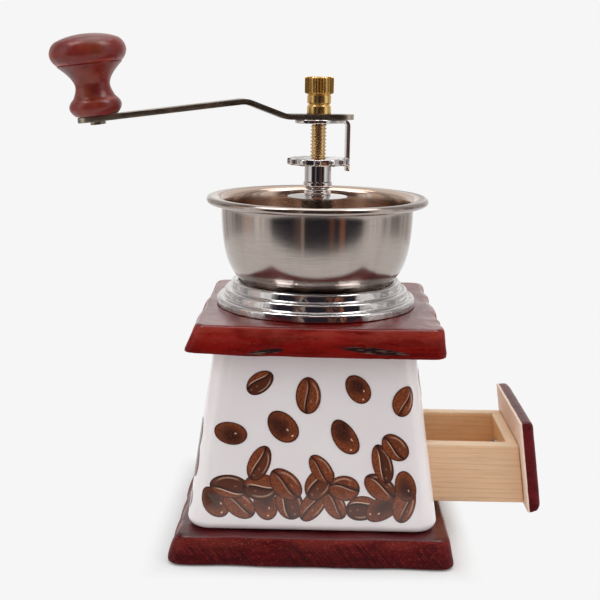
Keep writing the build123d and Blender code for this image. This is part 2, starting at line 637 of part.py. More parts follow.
def adjusting_wheel():
    """Notched wheel on the spindle's thread that sets the grind."""
    wheel = disc(WHEEL_R, WHEEL_Z, WHEEL_Z + WHEEL_THICK)
    wheel = chamfer(wheel.edges(), WHEEL_BEVEL)
    floor = WHEEL_R - NOTCH_DEPTH
    half = NOTCH_WIDTH / 2
    notch = slab(floor, WHEEL_R + NOTCH_DEPTH, -half, half, WHEEL_Z, WHEEL_Z + WHEEL_THICK)
    notch = fillet(notch.edges().filter_by(Axis.Z).sort_by(Axis.X)[:2], NOTCH_ROUND)
    wheel -= [Rot(0, 0, 360 * i / WHEEL_NOTCHES) * notch for i in range(WHEEL_NOTCHES)]
    return wheel - disc(SHAFT_R, WHEEL_Z, WHEEL_Z + WHEEL_THICK)


# ---- Crank ----------------------------------------------------------------------------
ARM_CENTRE_Z = ARM_Z + ARM_THICK / 2
CREST_Z = ARM_CENTRE_Z + ARM_CREST_RISE
PIVOT_Z = CREST_Z - (CRANK_RADIUS - ARM_CREST) * tan(radians(ARM_SLOPE))
KNOB_PLACE = Pos(-CRANK_RADIUS, 0, PIVOT_Z) * Rot(0, -ARM_SLOPE, 0)


def strip_outline(points, bend, thick):
    """Closed outline of a bent strip from its centre line's points, all bends alike."""
    upper = []
    lower = []
    for i, (x, z) in enumerate(points):
        before = points[max(i - 1, 0)]
        after = points[min(i + 1, len(points) - 1)]
        first = Vector(x - before[0], z - before[1]).normalized() if i else None
        last = Vector(after[0] - x, after[1] - z).normalized() if i < len(points) - 1 else None
        along = ((first or last) + (last or first)).normalized()
        stretch = thick / 2 / along.dot(last or first)
        upper.append((x - along.Y * stretch, z + along.X * stretch))
        lower.append((x + along.Y * stretch, z - along.X * stretch))
    inner = len(points) - 2
    radii = [0] + [bend] * inner + [0, 0] + [bend] * inner + [0]
    return FilletPolyline(*(upper + lower[::-1]), radius=radii, close=True)


def crank_arm():
    """Flat bar: level at the spindle, cranked upwards, then falling to the knob."""
    run = CRANK_RADIUS + ARM_TIP
    tip_z = CREST_Z - (run - ARM_CREST) * tan(radians(ARM_SLOPE))
    points = [
        (-run, tip_z), (-ARM_CREST, CREST_Z), (-ARM_RISE_START, ARM_CENTRE_Z),
        (ARM_TAIL, ARM_CENTRE_Z)]
    side_view = make_face(Plane.XZ * strip_outline(points, ARM_BEND_R, ARM_THICK))
    bar = extrude(side_view, ARM_WIDTH / 2, both=True)
    low = min(tip_z, ARM_Z) - ARM_THICK
    plan = Pos((ARM_TAIL - run) / 2, 0, low) * SlotOverall(run + ARM_TAIL, ARM_WIDTH)
    bar &= extrude(plan, CREST_Z + 2 * ARM_THICK - low)
    across = SPINDLE_FLATS + 2 * RUNNING_GAP
    bar -= double_flat(BORE_R, across, ARM_Z, THUMB_Z)
    return bar - KNOB_PLACE * disc(PIN_R, -2 * ARM_THICK, 2 * ARM_THICK)


def lock_bracket():
    """Strip under the arm whose leg drops into a notch of the adjusting wheel."""
    foot_z = WHEEL_Z - TONGUE_BELOW
    outer = LEG_IN + BRACKET_THICK
    points = [
        (-BRACKET_HUB_R - BRACKET_TAIL, BRACKET_Z), (LEG_IN, BRACKET_Z), (LEG_IN, foot_z),
        (outer, foot_z), (outer, ARM_Z), (-BRACKET_HUB_R - BRACKET_TAIL, ARM_Z)]
    bends = [0, BRACKET_BEND_R - BRACKET_THICK, 0, 0, BRACKET_BEND_R, 0]
    side_view = make_face(Plane.XZ * FilletPolyline(*points, radius=bends, close=True))
    bar = extrude(side_view, BRACKET_HUB_R, both=True)
    hub = Circle(BRACKET_HUB_R) + Pos(-BRACKET_TAIL, 0) * Circle(BRACKET_HUB_R)
    half = TONGUE_WIDTH / 2
    taper_end = outer - BRACKET_TAPER_END
    beyond = outer + BRACKET_THICK
    tongue = Polygon(
        (0, -BRACKET_HUB_R), (taper_end, -half), (beyond, -half),
        (beyond, half), (taper_end, half), (0, BRACKET_HUB_R), align=None)
    plan = Pos(0, 0, foot_z) * (hub + tongue)
    bar &= extrude(plan, ARM_Z - foot_z)
    across = SPINDLE_FLATS + 2 * RUNNING_GAP
    return bar - double_flat(BORE_R, across, BRACKET_Z, ARM_Z)


def knob_pin():
    """Pin riveted through the arm's end, with the head that keeps the knob on."""
    top = ARM_THICK / 2 + KNOB_LIFT + BUSH_LENGTH + 2 * SLIDE_GAP
    pin = disc(PIN_R, -ARM_THICK / 2 - RIVET_H, top)
    pin += disc(RIVET_R, -ARM_THICK / 2 - RIVET_H, -ARM_THICK / 2)
    pin += disc(PIN_HEAD_R, top, top + PIN_HEAD_H)
    return KNOB_PLACE * pin


def knob_bush():
    """Bush pressed into the knob, under the pin's head."""
    foot = ARM_THICK / 2 + KNOB_LIFT
    return KNOB_PLACE * ring(BUSH_R, PIN_R + RUNNING_GAP, foot, foot + BUSH_LENGTH)


def crank_knob():
    """Turned wooden knob: a bead at the foot, a waist and a mushroom head."""
    foot = ARM_THICK / 2 + KNOB_LIFT
    bead_r = KNOB_BEAD_TOP[0] * KNOB_BEAD_R
    bead_z = foot + KNOB_BEAD_TOP[1] * KNOB_HEIGHT
    shoulder_r = KNOB_SHOULDER[0] * KNOB_R
    shoulder_z = foot + KNOB_SHOULDER[1] * KNOB_HEIGHT
    bead = ThreePointArc((KNOB_FOOT_R, foot), (KNOB_BEAD_R, (foot + bead_z) / 2), (bead_r, bead_z))
    waist = Spline(
        (bead_r - KNOB_GROOVE, bead_z + KNOB_GROOVE), (KNOB_NECK_R, foot + KNOB_NECK_AT * KNOB_HEIGHT),
        (shoulder_r - KNOB_GROOVE, shoulder_z), tangents=((-0.5, 1), (1.2, 1)))
    head = Spline(
        (shoulder_r, shoulder_z + KNOB_GROOVE), (KNOB_R, foot + KNOB_WIDEST_AT * KNOB_HEIGHT),
        (KNOB_CROWN[0] * KNOB_R, foot + KNOB_CROWN[1] * KNOB_HEIGHT), (0, foot + KNOB_HEIGHT),
        tangents=((1, 1), (-1, 0)))
    lines = [
        Line((0, foot), bead @ 0), bead, Line(bead @ 1, waist @ 0), waist,
        Line(waist @ 1, head @ 0), head, Line(head @ 1, (0, foot))]
    return KNOB_PLACE * (turned(*lines) - disc(BUSH_R, foot, foot + KNOB_BORE_DEPTH))


def thumb_nut():
    """Brass nut that holds the arm down: a plain barrel with a groove and a wider head."""
    low = THUMB_Z
    head_z = low + THUMB_BARREL_H
    top = head_z + THUMB_HEAD_H
    groove_z = low + THUMB_BARREL_H / 2
    outline = FilletPolyline(
        (0, low), (THUMB_BARREL_R, low), (THUMB_BARREL_R, groove_z - THUMB_GROOVE),
        (THUMB_BARREL_R - THUMB_GROOVE, groove_z), (THUMB_BARREL_R, groove_z + THUMB_GROOVE),
        (THUMB_BARREL_R, head_z), (THUMB_HEAD_R, head_z + THUMB_HEAD_R - THUMB_BARREL_R),
        (THUMB_HEAD_R, top), (0, top),
        radius=[0] + [THUMB_EDGE_R] * 6 + [THUMB_CROWN_R, 0], close=True)
    return turned(outline) - disc(BORE_R, low, low + THUMB_BORE_DEPTH)


# ---- Drawer ---------------------------------------------------------------------------
def panel_x(z):
    """Where the front panel's inner face stands at a height, with the drawer as at rest."""
    return body_half(z) + SLIDE_GAP + DRAWER_OUT


DRAWER_TOP_Z = DRAWER_Z + DRAWER_HEIGHT
DRAWER_BACK_X = panel_x(DRAWER_Z) - DRAWER_DEPTH
PANEL_FOOT_Z = DRAWER_Z - PANEL_BELOW
PANEL_PLACE = Pos(panel_x(PANEL_FOOT_Z), 0, PANEL_FOOT_Z) * Rot(0, -BODY_LEAN, 0)


def drawer_side(sign):
    """Side board, its front end cut to the panel's lean."""
    outline = Polyline(
        (DRAWER_BACK_X, DRAWER_Z), (panel_x(DRAWER_Z), DRAWER_Z),
        (panel_x(DRAWER_TOP_Z), DRAWER_TOP_Z), (DRAWER_BACK_X, DRAWER_TOP_Z), close=True)
    inner = DRAWER_WIDTH / 2 - DRAWER_SIDE_T
    side = extrude(make_face(Plane.XZ * outline), DRAWER_SIDE_T / 2, both=True)
    return Pos(0, sign * (inner + DRAWER_SIDE_T / 2), 0) * side


def drawer_front_panel():
    """Leaning front panel with rounded outer edges."""
    panel = slab(0, PANEL_THICK, -PANEL_WIDTH / 2, PANEL_WIDTH / 2, 0, PANEL_HEIGHT)
    face = panel.faces().sort_by(Axis.X)[-1]
    panel = fillet(face.edges(), min(PANEL_ROUND, 0.8 * PANEL_THICK))
    return PANEL_PLACE * (panel - panel_screw_group())


def drawer_inner_front():
    """Board between the sides that carries the front panel."""
    half = DRAWER_WIDTH / 2 - DRAWER_SIDE_T
    reach = DRAWER_HEIGHT + PANEL_BELOW
    board_block = PANEL_PLACE * (slab(-DRAWER_SIDE_T, 0, -half, half, 0, 2 * reach) - panel_screw_group())
    keep = slab(DRAWER_BACK_X, 2 * BASE_SIDE, -half, half, DRAWER_Z + DRAWER_FLOOR_T, DRAWER_TOP_Z)
    return board_block & keep


def drawer_back():
    half = DRAWER_WIDTH / 2 - DRAWER_SIDE_T
    return slab(DRAWER_BACK_X, DRAWER_BACK_X + DRAWER_SIDE_T, -half, half,
                DRAWER_Z + DRAWER_FLOOR_T, DRAWER_TOP_Z)


def drawer_bottom():
    """Floor board between the sides, under the front and back boards."""
    half = DRAWER_WIDTH / 2 - DRAWER_SIDE_T
    floor_top = DRAWER_Z + DRAWER_FLOOR_T
    outline = Polyline(
        (DRAWER_BACK_X, DRAWER_Z), (panel_x(DRAWER_Z), DRAWER_Z),
        (panel_x(floor_top), floor_top), (DRAWER_BACK_X, floor_top), close=True)
    return extrude(make_face(Plane.XZ * outline), half, both=True)


def panel_screw_group():
    """Two screws driven from inside the drawer, in the panel's own frame."""
    height = PANEL_BELOW + DRAWER_FLOOR_T + (DRAWER_HEIGHT - DRAWER_FLOOR_T) / 2
    screws = []
    for y in (-PANEL_SCREW_Y, PANEL_SCREW_Y):
        shank = disc(PANEL_SCREW_R, -DRAWER_SIDE_T, PANEL_SCREW_BITE)
        head = disc(PANEL_SCREW_HEAD_R, -DRAWER_SIDE_T - PANEL_SCREW_HEAD_H, -DRAWER_SIDE_T)
        head = chamfer(head.edges().sort_by(Axis.Z)[0], PANEL_SCREW_BEVEL)
        screws.append(Pos(0, y, height) * Rot(0, 90, 0) * (shank + head))
    return Compound(screws)


def drawer_panel_screws():
    return PANEL_PLACE * panel_screw_group()


# ---- Assembly -------------------------------------------------------------------------
FIXED = {
    "base_plate": base_plate(),
    "ceramic_body": ceramic_body(),
    "top_plate": top_plate(),
    "tie_bolts": tie_bolts(),
    "tie_washers": tie_washers(),
    "tie_inserts": tie_inserts(),
    "drawer_runners": drawer_runners(),
    "stepped_flange": stepped_flange(),
    "flange_screws": wood_screws(),
    "hopper_bowl": hopper_bowl(),
    "bearing_bridge": bearing_bridge(),
    "bridge_screws": bridge_screws(),
    "bowl_disc": bowl_disc(),
    "bearing_collar": bearing_collar(),
    "outer_burr": outer_burr(),
    "drawer_side_near": drawer_side(-1),
    "drawer_side_far": drawer_side(1),
    "drawer_front_panel": drawer_front_panel(),
    "drawer_inner_front": drawer_inner_front(),
    "drawer_back": drawer_back(),
    "drawer_bottom": drawer_bottom(),
    "drawer_panel_screws": drawer_panel_screws(),
}
TURNED = {
    "spindle": spindle(),
    "inner_burr": inner_burr(),
    "burr_washer": burr_washer(),
    "burr_nut": burr_nut(),
    "feed_spring": feed_spring(),
    "spring_washer": spring_washer(),
    "adjusting_wheel": adjusting_wheel(),
    "crank_arm": crank_arm(),
    "lock_bracket": lock_bracket(),
    "knob_pin": knob_pin(),
    "knob_bush": knob_bush(),
    "crank_knob": crank_knob(),
    "thumb_nut": thumb_nut(),
}

for name, shape in FIXED.items():
    export_step(shape, f"parts/{name}.step")
for name, shape in TURNED.items():
    export_step(Rot(0, 0, REST_TURN) * shape, f"parts/{name}.step")
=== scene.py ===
"""Finish of the hand-cranked coffee grinder: shapes, materials and a plain studio stage.

Lengths are written in millimetres and turned into metres where a mesh is made.
"""
import json
from math import acos, atan2, cos, pi, radians, sin, tan
from random import Random

import bmesh
import bpy
from bpy.props import FloatProperty, FloatVectorProperty, IntProperty, PointerProperty
from mathutils import Matrix, Vector
from mathutils.geometry import interpolate_bezier


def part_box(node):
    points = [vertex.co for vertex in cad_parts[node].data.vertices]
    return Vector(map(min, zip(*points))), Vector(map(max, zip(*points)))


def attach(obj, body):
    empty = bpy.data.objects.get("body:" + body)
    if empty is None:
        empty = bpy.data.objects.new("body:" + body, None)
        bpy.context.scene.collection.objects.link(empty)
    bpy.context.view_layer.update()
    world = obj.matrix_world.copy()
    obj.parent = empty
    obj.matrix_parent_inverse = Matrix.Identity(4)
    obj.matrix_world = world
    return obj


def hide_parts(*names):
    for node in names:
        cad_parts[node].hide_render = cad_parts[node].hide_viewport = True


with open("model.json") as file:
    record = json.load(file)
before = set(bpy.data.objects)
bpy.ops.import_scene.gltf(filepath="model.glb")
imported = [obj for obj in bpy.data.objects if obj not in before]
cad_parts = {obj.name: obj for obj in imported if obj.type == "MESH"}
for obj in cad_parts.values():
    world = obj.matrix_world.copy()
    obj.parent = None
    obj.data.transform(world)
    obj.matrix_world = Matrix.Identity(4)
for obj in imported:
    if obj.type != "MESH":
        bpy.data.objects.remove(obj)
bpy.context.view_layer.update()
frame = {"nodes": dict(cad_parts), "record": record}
MM = 0.001
MERGE = 1e-6                # how near corners lie that are merged, in metres
CURVE_POINTS = 7            # points on each stretch of a smooth line

bl_info = {
    "name": "Burr Coffee Grinder",
    "version": (1, 0, 0),
    "blender": (4, 5, 0),
    "location": "3D View > Sidebar > Grinder",
    "description": "Models and finishes the visible pieces of a hand-cranked coffee grinder",
    "category": "Add Mesh",
}


# ---- Places read from the frame --------------------------------------------------------
def box(node):
    """A CAD node's lowest and highest corners, in millimetres."""
    low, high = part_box(node)
    return Vector(low) / MM, Vector(high) / MM


def joint(name):
    """A joint of the part's record."""
    return next(j for j in frame["record"]["behaviour"]["joints"] if j["name"] == name)


KNOB_AT = Vector(joint("knob_spin")["pos_m"])
KNOB_AXIS = Vector(joint("knob_spin")["axis"]).normalized()
KNOB_PLACE = Matrix.Translation(KNOB_AT) @ KNOB_AXIS.to_track_quat("Z", "Y").to_matrix().to_4x4()
BASE_LOW, BASE_HIGH = box("base_plate")
BODY_LOW, BODY_HIGH = box("ceramic_body")
TOP_LOW, TOP_HIGH = box("top_plate")
FLANGE_LOW, FLANGE_HIGH = box("stepped_flange")
BOWL_LOW, BOWL_HIGH = box("hopper_bowl")
DISC_LOW, DISC_HIGH = box("bowl_disc")
COLLAR_LOW, COLLAR_HIGH = box("bearing_collar")
WHEEL_HIGH = box("adjusting_wheel")[1]
NUT_LOW, NUT_HIGH = box("thumb_nut")
SPINDLE_LOW, SPINDLE_HIGH = box("spindle")
SHAFT_R = SPINDLE_HIGH.y

# The tie bolts' holes, in millimetres
WASHER_HOLE_R, WASHER_HOLE_TOP = 4.6, 5.0
BOLT_HOLE_R = 2.1
INSERT_R, INSERT_HOLE_DEPTH = 3.6, 9.0
BURR_GAP = 0.8              # play round the outer burr
PAST = 1.0                  # how far a cutter reaches past the surface it cuts


def tie_places():
    """Centres of the four tie bolts."""
    high = box("tie_inserts")[1]
    return [(sx * (high.x - INSERT_R), sy * (high.y - INSERT_R)) for sx in (-1, 1) for sy in (-1, 1)]


def mesh_points(node):
    """A CAD node's corners, in millimetres."""
    return [v.co / MM for v in frame["nodes"][node].data.vertices]


def body_lean():
    """How far the ceramic body's walls lean in for each millimetre of height, and half its width
    at the head."""
    points = mesh_points("ceramic_body")
    widest = max(points, key=lambda p: p.x)
    head = max(p.x for p in points if p.z > BODY_HIGH.z - 0.1)
    return (widest.x - head) / (BODY_HIGH.z - widest.z), head


BODY_LEAN, BODY_HEAD = body_lean()


# ---- Settings that a user may change ---------------------------------------------------
def linear(*shade):
    """A colour given in 0 to 255 steps, as the linear light that shaders take."""
    return tuple((c / 255 / 12.92) if c < 11 else ((c / 255 + 0.055) / 1.055) ** 2.4 for c in shade)


def length(name, text, default):
    """A size, whose default is in millimetres."""
    return FloatProperty(name=name, description=text, default=default * MM, unit="LENGTH", min=0.0)


def colour(name, text, *shade):
    """A colour, whose default is in 0 to 255 steps."""
    return FloatVectorProperty(
        name=name, description=text, default=linear(*shade), subtype="COLOR", min=0.0, max=1.0)


class GrinderSizes(bpy.types.PropertyGroup):
    """Sizes of the details that the finish adds."""

    wear: length("Board wear", "How deep hands and saws have worn the boards", 0.40)
    wood_cell: length("Board cell", "Size of the grid that the boards are worn on", 0.9)
    plank_cell: length("Drawer cell", "Size of the grid that the drawer's boards are worn on", 0.7)
    print_proud: length("Print thickness", "How far the printed beans stand out from the glaze", 0.07)
    bean_length: length("Bean length", "Mean length of a printed bean", 14.2)
    bean_width: length("Bean width", "Mean width of a printed bean", 9.6)
    flange_lumps: length("Flange lumps", "How uneven the flange's casting is", 0.28)
    thread_pitch: length("Thread pitch", "Distance between two turns of the spindle's thread", 1.4)
    thread_depth: length("Thread depth", "Depth of the spindle's thread", 0.5)
    knurls: IntProperty(name="Knurls", description="Flutes around the thumb nut", default=32, min=6)
    knurl_depth: length("Knurl depth", "Depth of the thumb nut's flutes", 0.55)
    bowl_wall: length("Bowl wall", "Thickness of the bowl's sheet steel", 1.0)


class GrinderColours(bpy.types.PropertyGroup):
    """Colours of the finishes."""

    stain_top: colour("Top stain", "Stain of the upper board", 118, 13, 8)
    stain_base: colour("Base stain", "Stain of the lower board", 88, 15, 21)
    stain_knob: colour("Knob stain", "Stain of the knob", 112, 24, 18)
    stain_panel: colour("Panel stain", "Stain of the drawer's front panel", 92, 20, 24)
    stain_dark: colour("Dark stain", "Stain in pores, hollows and end grain", 48, 12, 14)
    # Real wear on edges, and also the painted light and painted highlight mottling on the boards' flanks
    stain_worn_and_lit: colour("Worn stain", "Stained wood on worn edges", 158, 62, 50)
    stain_warm: colour("Warm stain", "Brown patches in the knob's stain", 134, 58, 30)
    hollow: colour("Hollows", "Bark left in the hollows of the upper board", 30, 20, 22)
    bark: colour("Bark", "Paler flakes of that bark", 112, 84, 74)
    # On the boards these specks are also painted glints
    speck: colour("Specks", "Dust in the pores of the stained wood", 206, 172, 168)
    glaze: colour("Glaze", "Glazed ceramic", 236, 227, 228)
    glaze_pale: colour("Pale glaze", "Glaze where it lies thicker", 238, 231, 231)
    bean: colour("Bean", "Printed bean", 138, 70, 40)
    bean_dark: colour("Bean shadow", "Outline and crease of a printed bean", 46, 24, 20)
    bean_light: colour("Bean highlight", "Highlight of a printed bean", 236, 196, 170)
    pine: colour("Plain wood", "Outside of the drawer's boards", 240, 198, 158)
    pine_line: colour("Wood line", "Growth lines in the plain wood", 188, 142, 100)
    pine_dull: colour("Wood patch", "Duller patches of the plain wood", 232, 196, 164)
    # Its own tone, painted lighter than the outside as painted light
    pine_lit_inside: colour("Wood inside", "Plain wood inside the drawer", 255, 216, 166)
    pine_lit_inside_line: colour("Inside line", "Growth lines inside the drawer", 222, 170, 116)
    pine_pale: colour("Wood edge", "Sawn edges of the plain wood", 248, 222, 190)
    # The bare face's own colour, painted lighter as painted light
    pine_bare_lit: colour("Bare face", "Bare inner face of the drawer's panel", 255, 232, 216)
    steel: colour("Steel", "Brushed stainless steel", 176, 165, 158)
    # Painted reflection: warm tint inside the bowl
    warm_reflection: colour("Copper sheen", "Warm sheen inside the bowl", 222, 192, 170)
    chrome: colour("Chrome", "Bright plating", 216, 214, 214)
    gunmetal: colour("Gunmetal", "Dark nickel plating of the arm", 104, 96, 88)
    scuffed: colour("Scuffs", "Plating rubbed paler along the arm", 196, 184, 164)
    # Painted highlight on the arm's rounded tail
    tail_highlight: colour("Scuffed end", "Plating rubbed bright at the arm's tail", 206, 196, 180)
    brass: colour("Brass", "Turned brass", 240, 202, 128)
    thread: colour("Thread", "Dull brass of the spindle", 236, 206, 156)
    zinc: colour("Zinc", "Plated fasteners", 178, 178, 174)
    iron: colour("Iron", "Cast burrs", 92, 88, 84)


# ---- Shader building -------------------------------------------------------------------
def of_two(operation):
    """A method that adds a Math node on a value and another."""
    return lambda self, other: self.math(operation, self, other)


class Num:
    """An output of a node: arithmetic on it adds Math nodes to its material."""

    def __init__(self, finish, socket):
        self.finish = finish
        self.socket = socket

    def __getitem__(self, output):
        """Another output of the same node."""
        return Num(self.finish, self.socket.node.outputs[output])

    def math(self, operation, *values):
        return self.finish.add("ShaderNodeMath", {"operation": operation}, dict(enumerate(values)))

    __add__ = __radd__ = of_two("ADD")
    __mul__ = __rmul__ = of_two("MULTIPLY")
    __sub__ = of_two("SUBTRACT")
    __truediv__ = of_two("DIVIDE")
    __pow__ = of_two("POWER")
    larger = of_two("MAXIMUM")
    smaller = of_two("MINIMUM")

    def __rsub__(self, other):
        return self.math("SUBTRACT", other, self)

    def __abs__(self):
        return self.math("ABSOLUTE", self)

    def sine(self):
        return self.math("SINE", self)

    def step(self, low, high):
        """Smooth step from 0 at one value to 1 at another."""
        return self.finish.add(
            "ShaderNodeMapRange", {"interpolation_type": "SMOOTHSTEP"},
            {"Value": self, "From Min": low, "From Max": high})

    def fall(self, low, high):
        """Smooth step from 1 at one value to 0 at another."""
        return 1 - self.step(low, high)

    def between(self, low, rise, fall, high):
        """Rises from 0 to 1 between the first two values and falls between the last two."""
        return self.step(low, rise) * self.fall(fall, high)

    def near(self, middle, inner, outer):
        """1 within an inner distance of a value, falling to 0 at an outer distance."""
        return abs(self - middle).fall(inner, outer)


class Finish:
    """One material: a Principled shader and the nodes that feed it."""

    def __init__(self, name, **values):
        self.material = bpy.data.materials.new(name)
        self.material.use_nodes = True
        self.tree = self.material.node_tree
        self.shader = self.tree.nodes["Principled BSDF"]
        self.place = self.add("ShaderNodeTexCoord", {}, {}, "Object")
        self.set(**values)

    def add(self, kind, settings, inputs, output=0):
        """Adds a node: its settings first, then the values or links of its sockets."""
        node = self.tree.nodes.new(kind)
        for name, value in settings.items():
            setattr(node, name, value)
        for key, value in inputs.items():
            self.feed(node.inputs[key], value)
        return Num(self, node.outputs[output])

    def feed(self, socket, value):
        if isinstance(value, Num):
            self.tree.links.new(value.socket, socket)
        elif socket.type == "RGBA":
            socket.default_value = (*value, 1.0)
        else:
            socket.default_value = value

    def set(self, **values):
        """Feeds the shader's sockets, named with _ for a space, and gives the material."""
        for name, value in values.items():
            self.feed(self.shader.inputs[name.replace("_", " ").title().replace("Ior", "IOR")], value)
        return self.material

    def mix(self, factor, first, second):
        """Mixes two colours."""
        return self.add("ShaderNodeMix", {"data_type": "RGBA"}, {0: factor, 6: first, 7: second}, 2)

    def layers(self, shade, *coats):
        """Lays coats, each a mask and a colour, over a first colour."""
        for mask, coat in coats:
            shade = self.mix(mask, shade, coat)
        return shade

    def parts(self, vector):
        """X, Y and Z of a vector."""
        split = self.add("ShaderNodeSeparateXYZ", {}, {0: vector})
        return [split[part] for part in "XYZ"]

    def scaled(self, vector, *factors):
        return self.add("ShaderNodeVectorMath", {"operation": "MULTIPLY"}, {0: vector, 1: factors})

    def axes(self):
        """The place as X, Y and Z in millimetres."""
        return self.parts(self.scaled(self.place, 1 / MM, 1 / MM, 1 / MM))

    def noise(self, size, detail=3.0, turn=(0.0, 0.0, 0.0), distortion=0.0):
        """Noise whose lumps are about size millimetres in X, Y and Z, after a turn in degrees."""
        turned = self.add(
            "ShaderNodeMapping", {}, {"Vector": self.place, "Rotation": [radians(a) for a in turn]})
        return self.noise_at(self.scaled(turned, *(1 / MM / s for s in size)), detail, distortion)

    def noise_at(self, place, detail, distortion=0.0):
        """Noise read at a place."""
        return self.add(
            "ShaderNodeTexNoise", {},
            {"Vector": place, "Scale": 1.0, "Detail": detail, "Distortion": distortion})

    def cells(self, size):
        """Distance to the nearest of points that lie about size millimetres apart."""
        place = self.scaled(self.place, *(1 / MM / size,) * 3)
        return self.add("ShaderNodeTexVoronoi", {}, {"Vector": place, "Scale": 1.0})

    def bump(self, height, depth, strength):
        """Bump whose height of 1 is depth millimetres."""
        return self.add(
            "ShaderNodeBump", {}, {"Height": height, "Distance": depth * MM, "Strength": strength})


def colours():
    """The colours set in the scene."""
    return bpy.context.scene.grinder_colours


# ---- Finishes --------------------------------------------------------------------------
def shaded(tone, share):
    """A darker or lighter shade of a colour."""
    return [min(c * share, 1.0) for c in tone]


def stain_over(f, stain, grain, rough):
    """Satin stain over wood whose fibres have a size in X, Y and Z: colour, height, roughness."""
    fibre = f.noise(grain, 5.0, distortion=0.5)
    cloud = f.noise((24, 24, 12))
    pores = f.noise([g * 0.42 for g in grain], 2.0)
    shade = f.layers(
        shaded(stain, 0.52),
        (fibre.step(0.30, 0.62), stain),
        (cloud.step(0.46, 0.70) * 0.45, shaded(stain, 1.55)),
        (pores.step(0.60, 0.80) * 0.45, colours().stain_dark))
    return shade, fibre * 0.5 + pores * 0.25 + cloud * 0.3, rough + fibre * 0.16


def knob_wood(rings):
    """Glossy stained wood of the knob, worn at rings: how far up its axis its grooves' edges are."""
    tone = colours()
    f = Finish("Stained knob", coat_weight=0.1, coat_roughness=0.10, specular_ior_level=0.35)
    shade, height, rough = stain_over(f, tone.stain_knob, (7, 7, 22), 0.22)
    along = f.add(
        "ShaderNodeVectorMath", {"operation": "DOT_PRODUCT"}, {0: f.place, 1: KNOB_AXIS / MM}, "Value")
    foot = KNOB_AT.dot(KNOB_AXIS) / MM
    worn = [along.near(foot + ring, 0.15, 0.75) * f.noise((6, 6, 3), 2.0).step(0.30, 0.55) * 0.6
            for ring in rings]
    specks = f.cells(1.4).fall(0.05, 0.11) * f.noise((7, 7, 7), 2.0).step(0.54, 0.62)
    shade = f.layers(
        shade,
        (f.noise((9, 9, 9)).step(0.44, 0.66) * 0.5, tone.stain_warm),
        *[(line, tone.stain_worn_and_lit) for line in worn],
        (specks * 0.6, tone.speck))
    height = height + f.noise((1.3, 1.3, 1.3), 2.0) * 0.5
    return f.set(base_color=shade, roughness=rough, normal=f.bump(height, 0.25, 0.5))


def stained_board(name, stain, low, high, crest, glow, sawn=0.0, hollows=()):
    """A stained board from one height to another, whose upper edge stands crest from the
    middle. Its flanks are painted darker towards the foot, a painted shade, and lighter near that
    edge, a painted light whose lightness is glow. sawn is how plain the saw's marks are, and
    hollows are (x, z, half length, half height, slope) of dark hollows in its front."""
    tone = colours()
    f = Finish(name, coat_roughness=0.16, specular_ior_level=0.06)
    shade, height, rough = stain_over(f, stain, (22, 2.2, 1.7), 0.26 + 0.08 * sawn)
    x, y, z = f.axes()
    thick = high - low
    flank = f.parts(f.add("ShaderNodeNewGeometry", {}, {}, "Normal"))[2].fall(0.50, 0.80)
    front = abs(y).step(crest - 0.4, crest + 0.3)
    up = z.step(high - 0.70 * thick, high - 0.6)

    # Painted highlight mottling, saw marks, rasp marks, pits, and specks of dust and painted glints
    lump = 2.2 - 1.0 * sawn
    highlight_mottle = f.noise((lump, lump, lump * 0.55)).step(0.50, 0.72) * flank
    marks = f.noise((0.6, 60, 14), 2.0, (0, 42, 0), 0.25)
    sawn_front = front * f.noise((26, 26, 26), 1.0).step(0.24, 0.46) * sawn
    rasp = f.noise((1.6, 18, 8), 2.0, (0, 0, 35), 0.2)
    pitted = f.noise((11, 11, 6), 2.0).step(0.56, 0.66) * flank * (0.25 + 0.75 * sawn)
    pits = f.cells(1.1).fall(0.14, 0.34) * pitted
    # Specks: dust in the pores, and painted glints on the pitted flanks and the base's upper faces
    dust_and_glint_share = pitted * 0.9 + (1 - flank) * 0.45 * sawn + 0.12 + 0.25 * sawn
    specks = (f.cells(1.5).fall(0.045, 0.10) * dust_and_glint_share).smaller(1.0)
    line = abs(x).larger(abs(y)).near(crest, 0.12, 0.70) * z.step(high - 1.5, high - 0.4)
    shade = f.layers(
        shade,
        # Painted shade: the flanks darker towards the foot
        (z.fall(low, low + 0.55 * thick) * flank * 0.45, shaded(stain, 0.55)),
        # Painted light: the upper flanks lighter towards the crest
        (up * flank * f.noise((16, 16, 4)).step(0.36, 0.62) * 0.60, shaded(tone.stain_worn_and_lit, glow)),
        # Painted highlight: light mottling on the flanks, stronger towards the top
        (highlight_mottle * (0.25 + 0.75 * up + 0.2 * sawn) * (0.35 + 0.20 * sawn), tone.stain_worn_and_lit),
        (marks.step(0.46, 0.66) * sawn_front * 0.9, tone.stain_dark),
        (pits * 0.8, tone.stain_dark),
        (specks * 0.75, tone.speck),
        (line * f.noise((8, 8, 3)).step(0.26, 0.46) * 0.32, tone.stain_worn_and_lit))
    height = height + marks * sawn_front * 4.5 + rasp * (1 - flank) * 0.35

    for at, level, long, tall, slope in hollows:
        rise = (z - level - (x - at) * slope) / tall
        ragged = (f.noise((5.0, 5.0, 0.7)) - 0.5) * 0.9
        inside = (((x - at) / long) ** 2 + rise * rise + ragged).fall(0.45, 1.0)
        inside = inside * (0 - y).step(crest - 3.0, crest - 1.5)
        bark = f.mix(f.noise((6.0, 6.0, 0.45)).step(0.50, 0.66), tone.hollow, tone.bark)
        shade = f.mix(inside * 0.95, shade, bark)
        height = height - inside * 0.8
    return f.set(base_color=shade, roughness=rough, coat_weight=(1 - flank) * 0.85 + 0.02,
                 normal=f.bump(height - pits * 0.8, 0.32, 0.5))


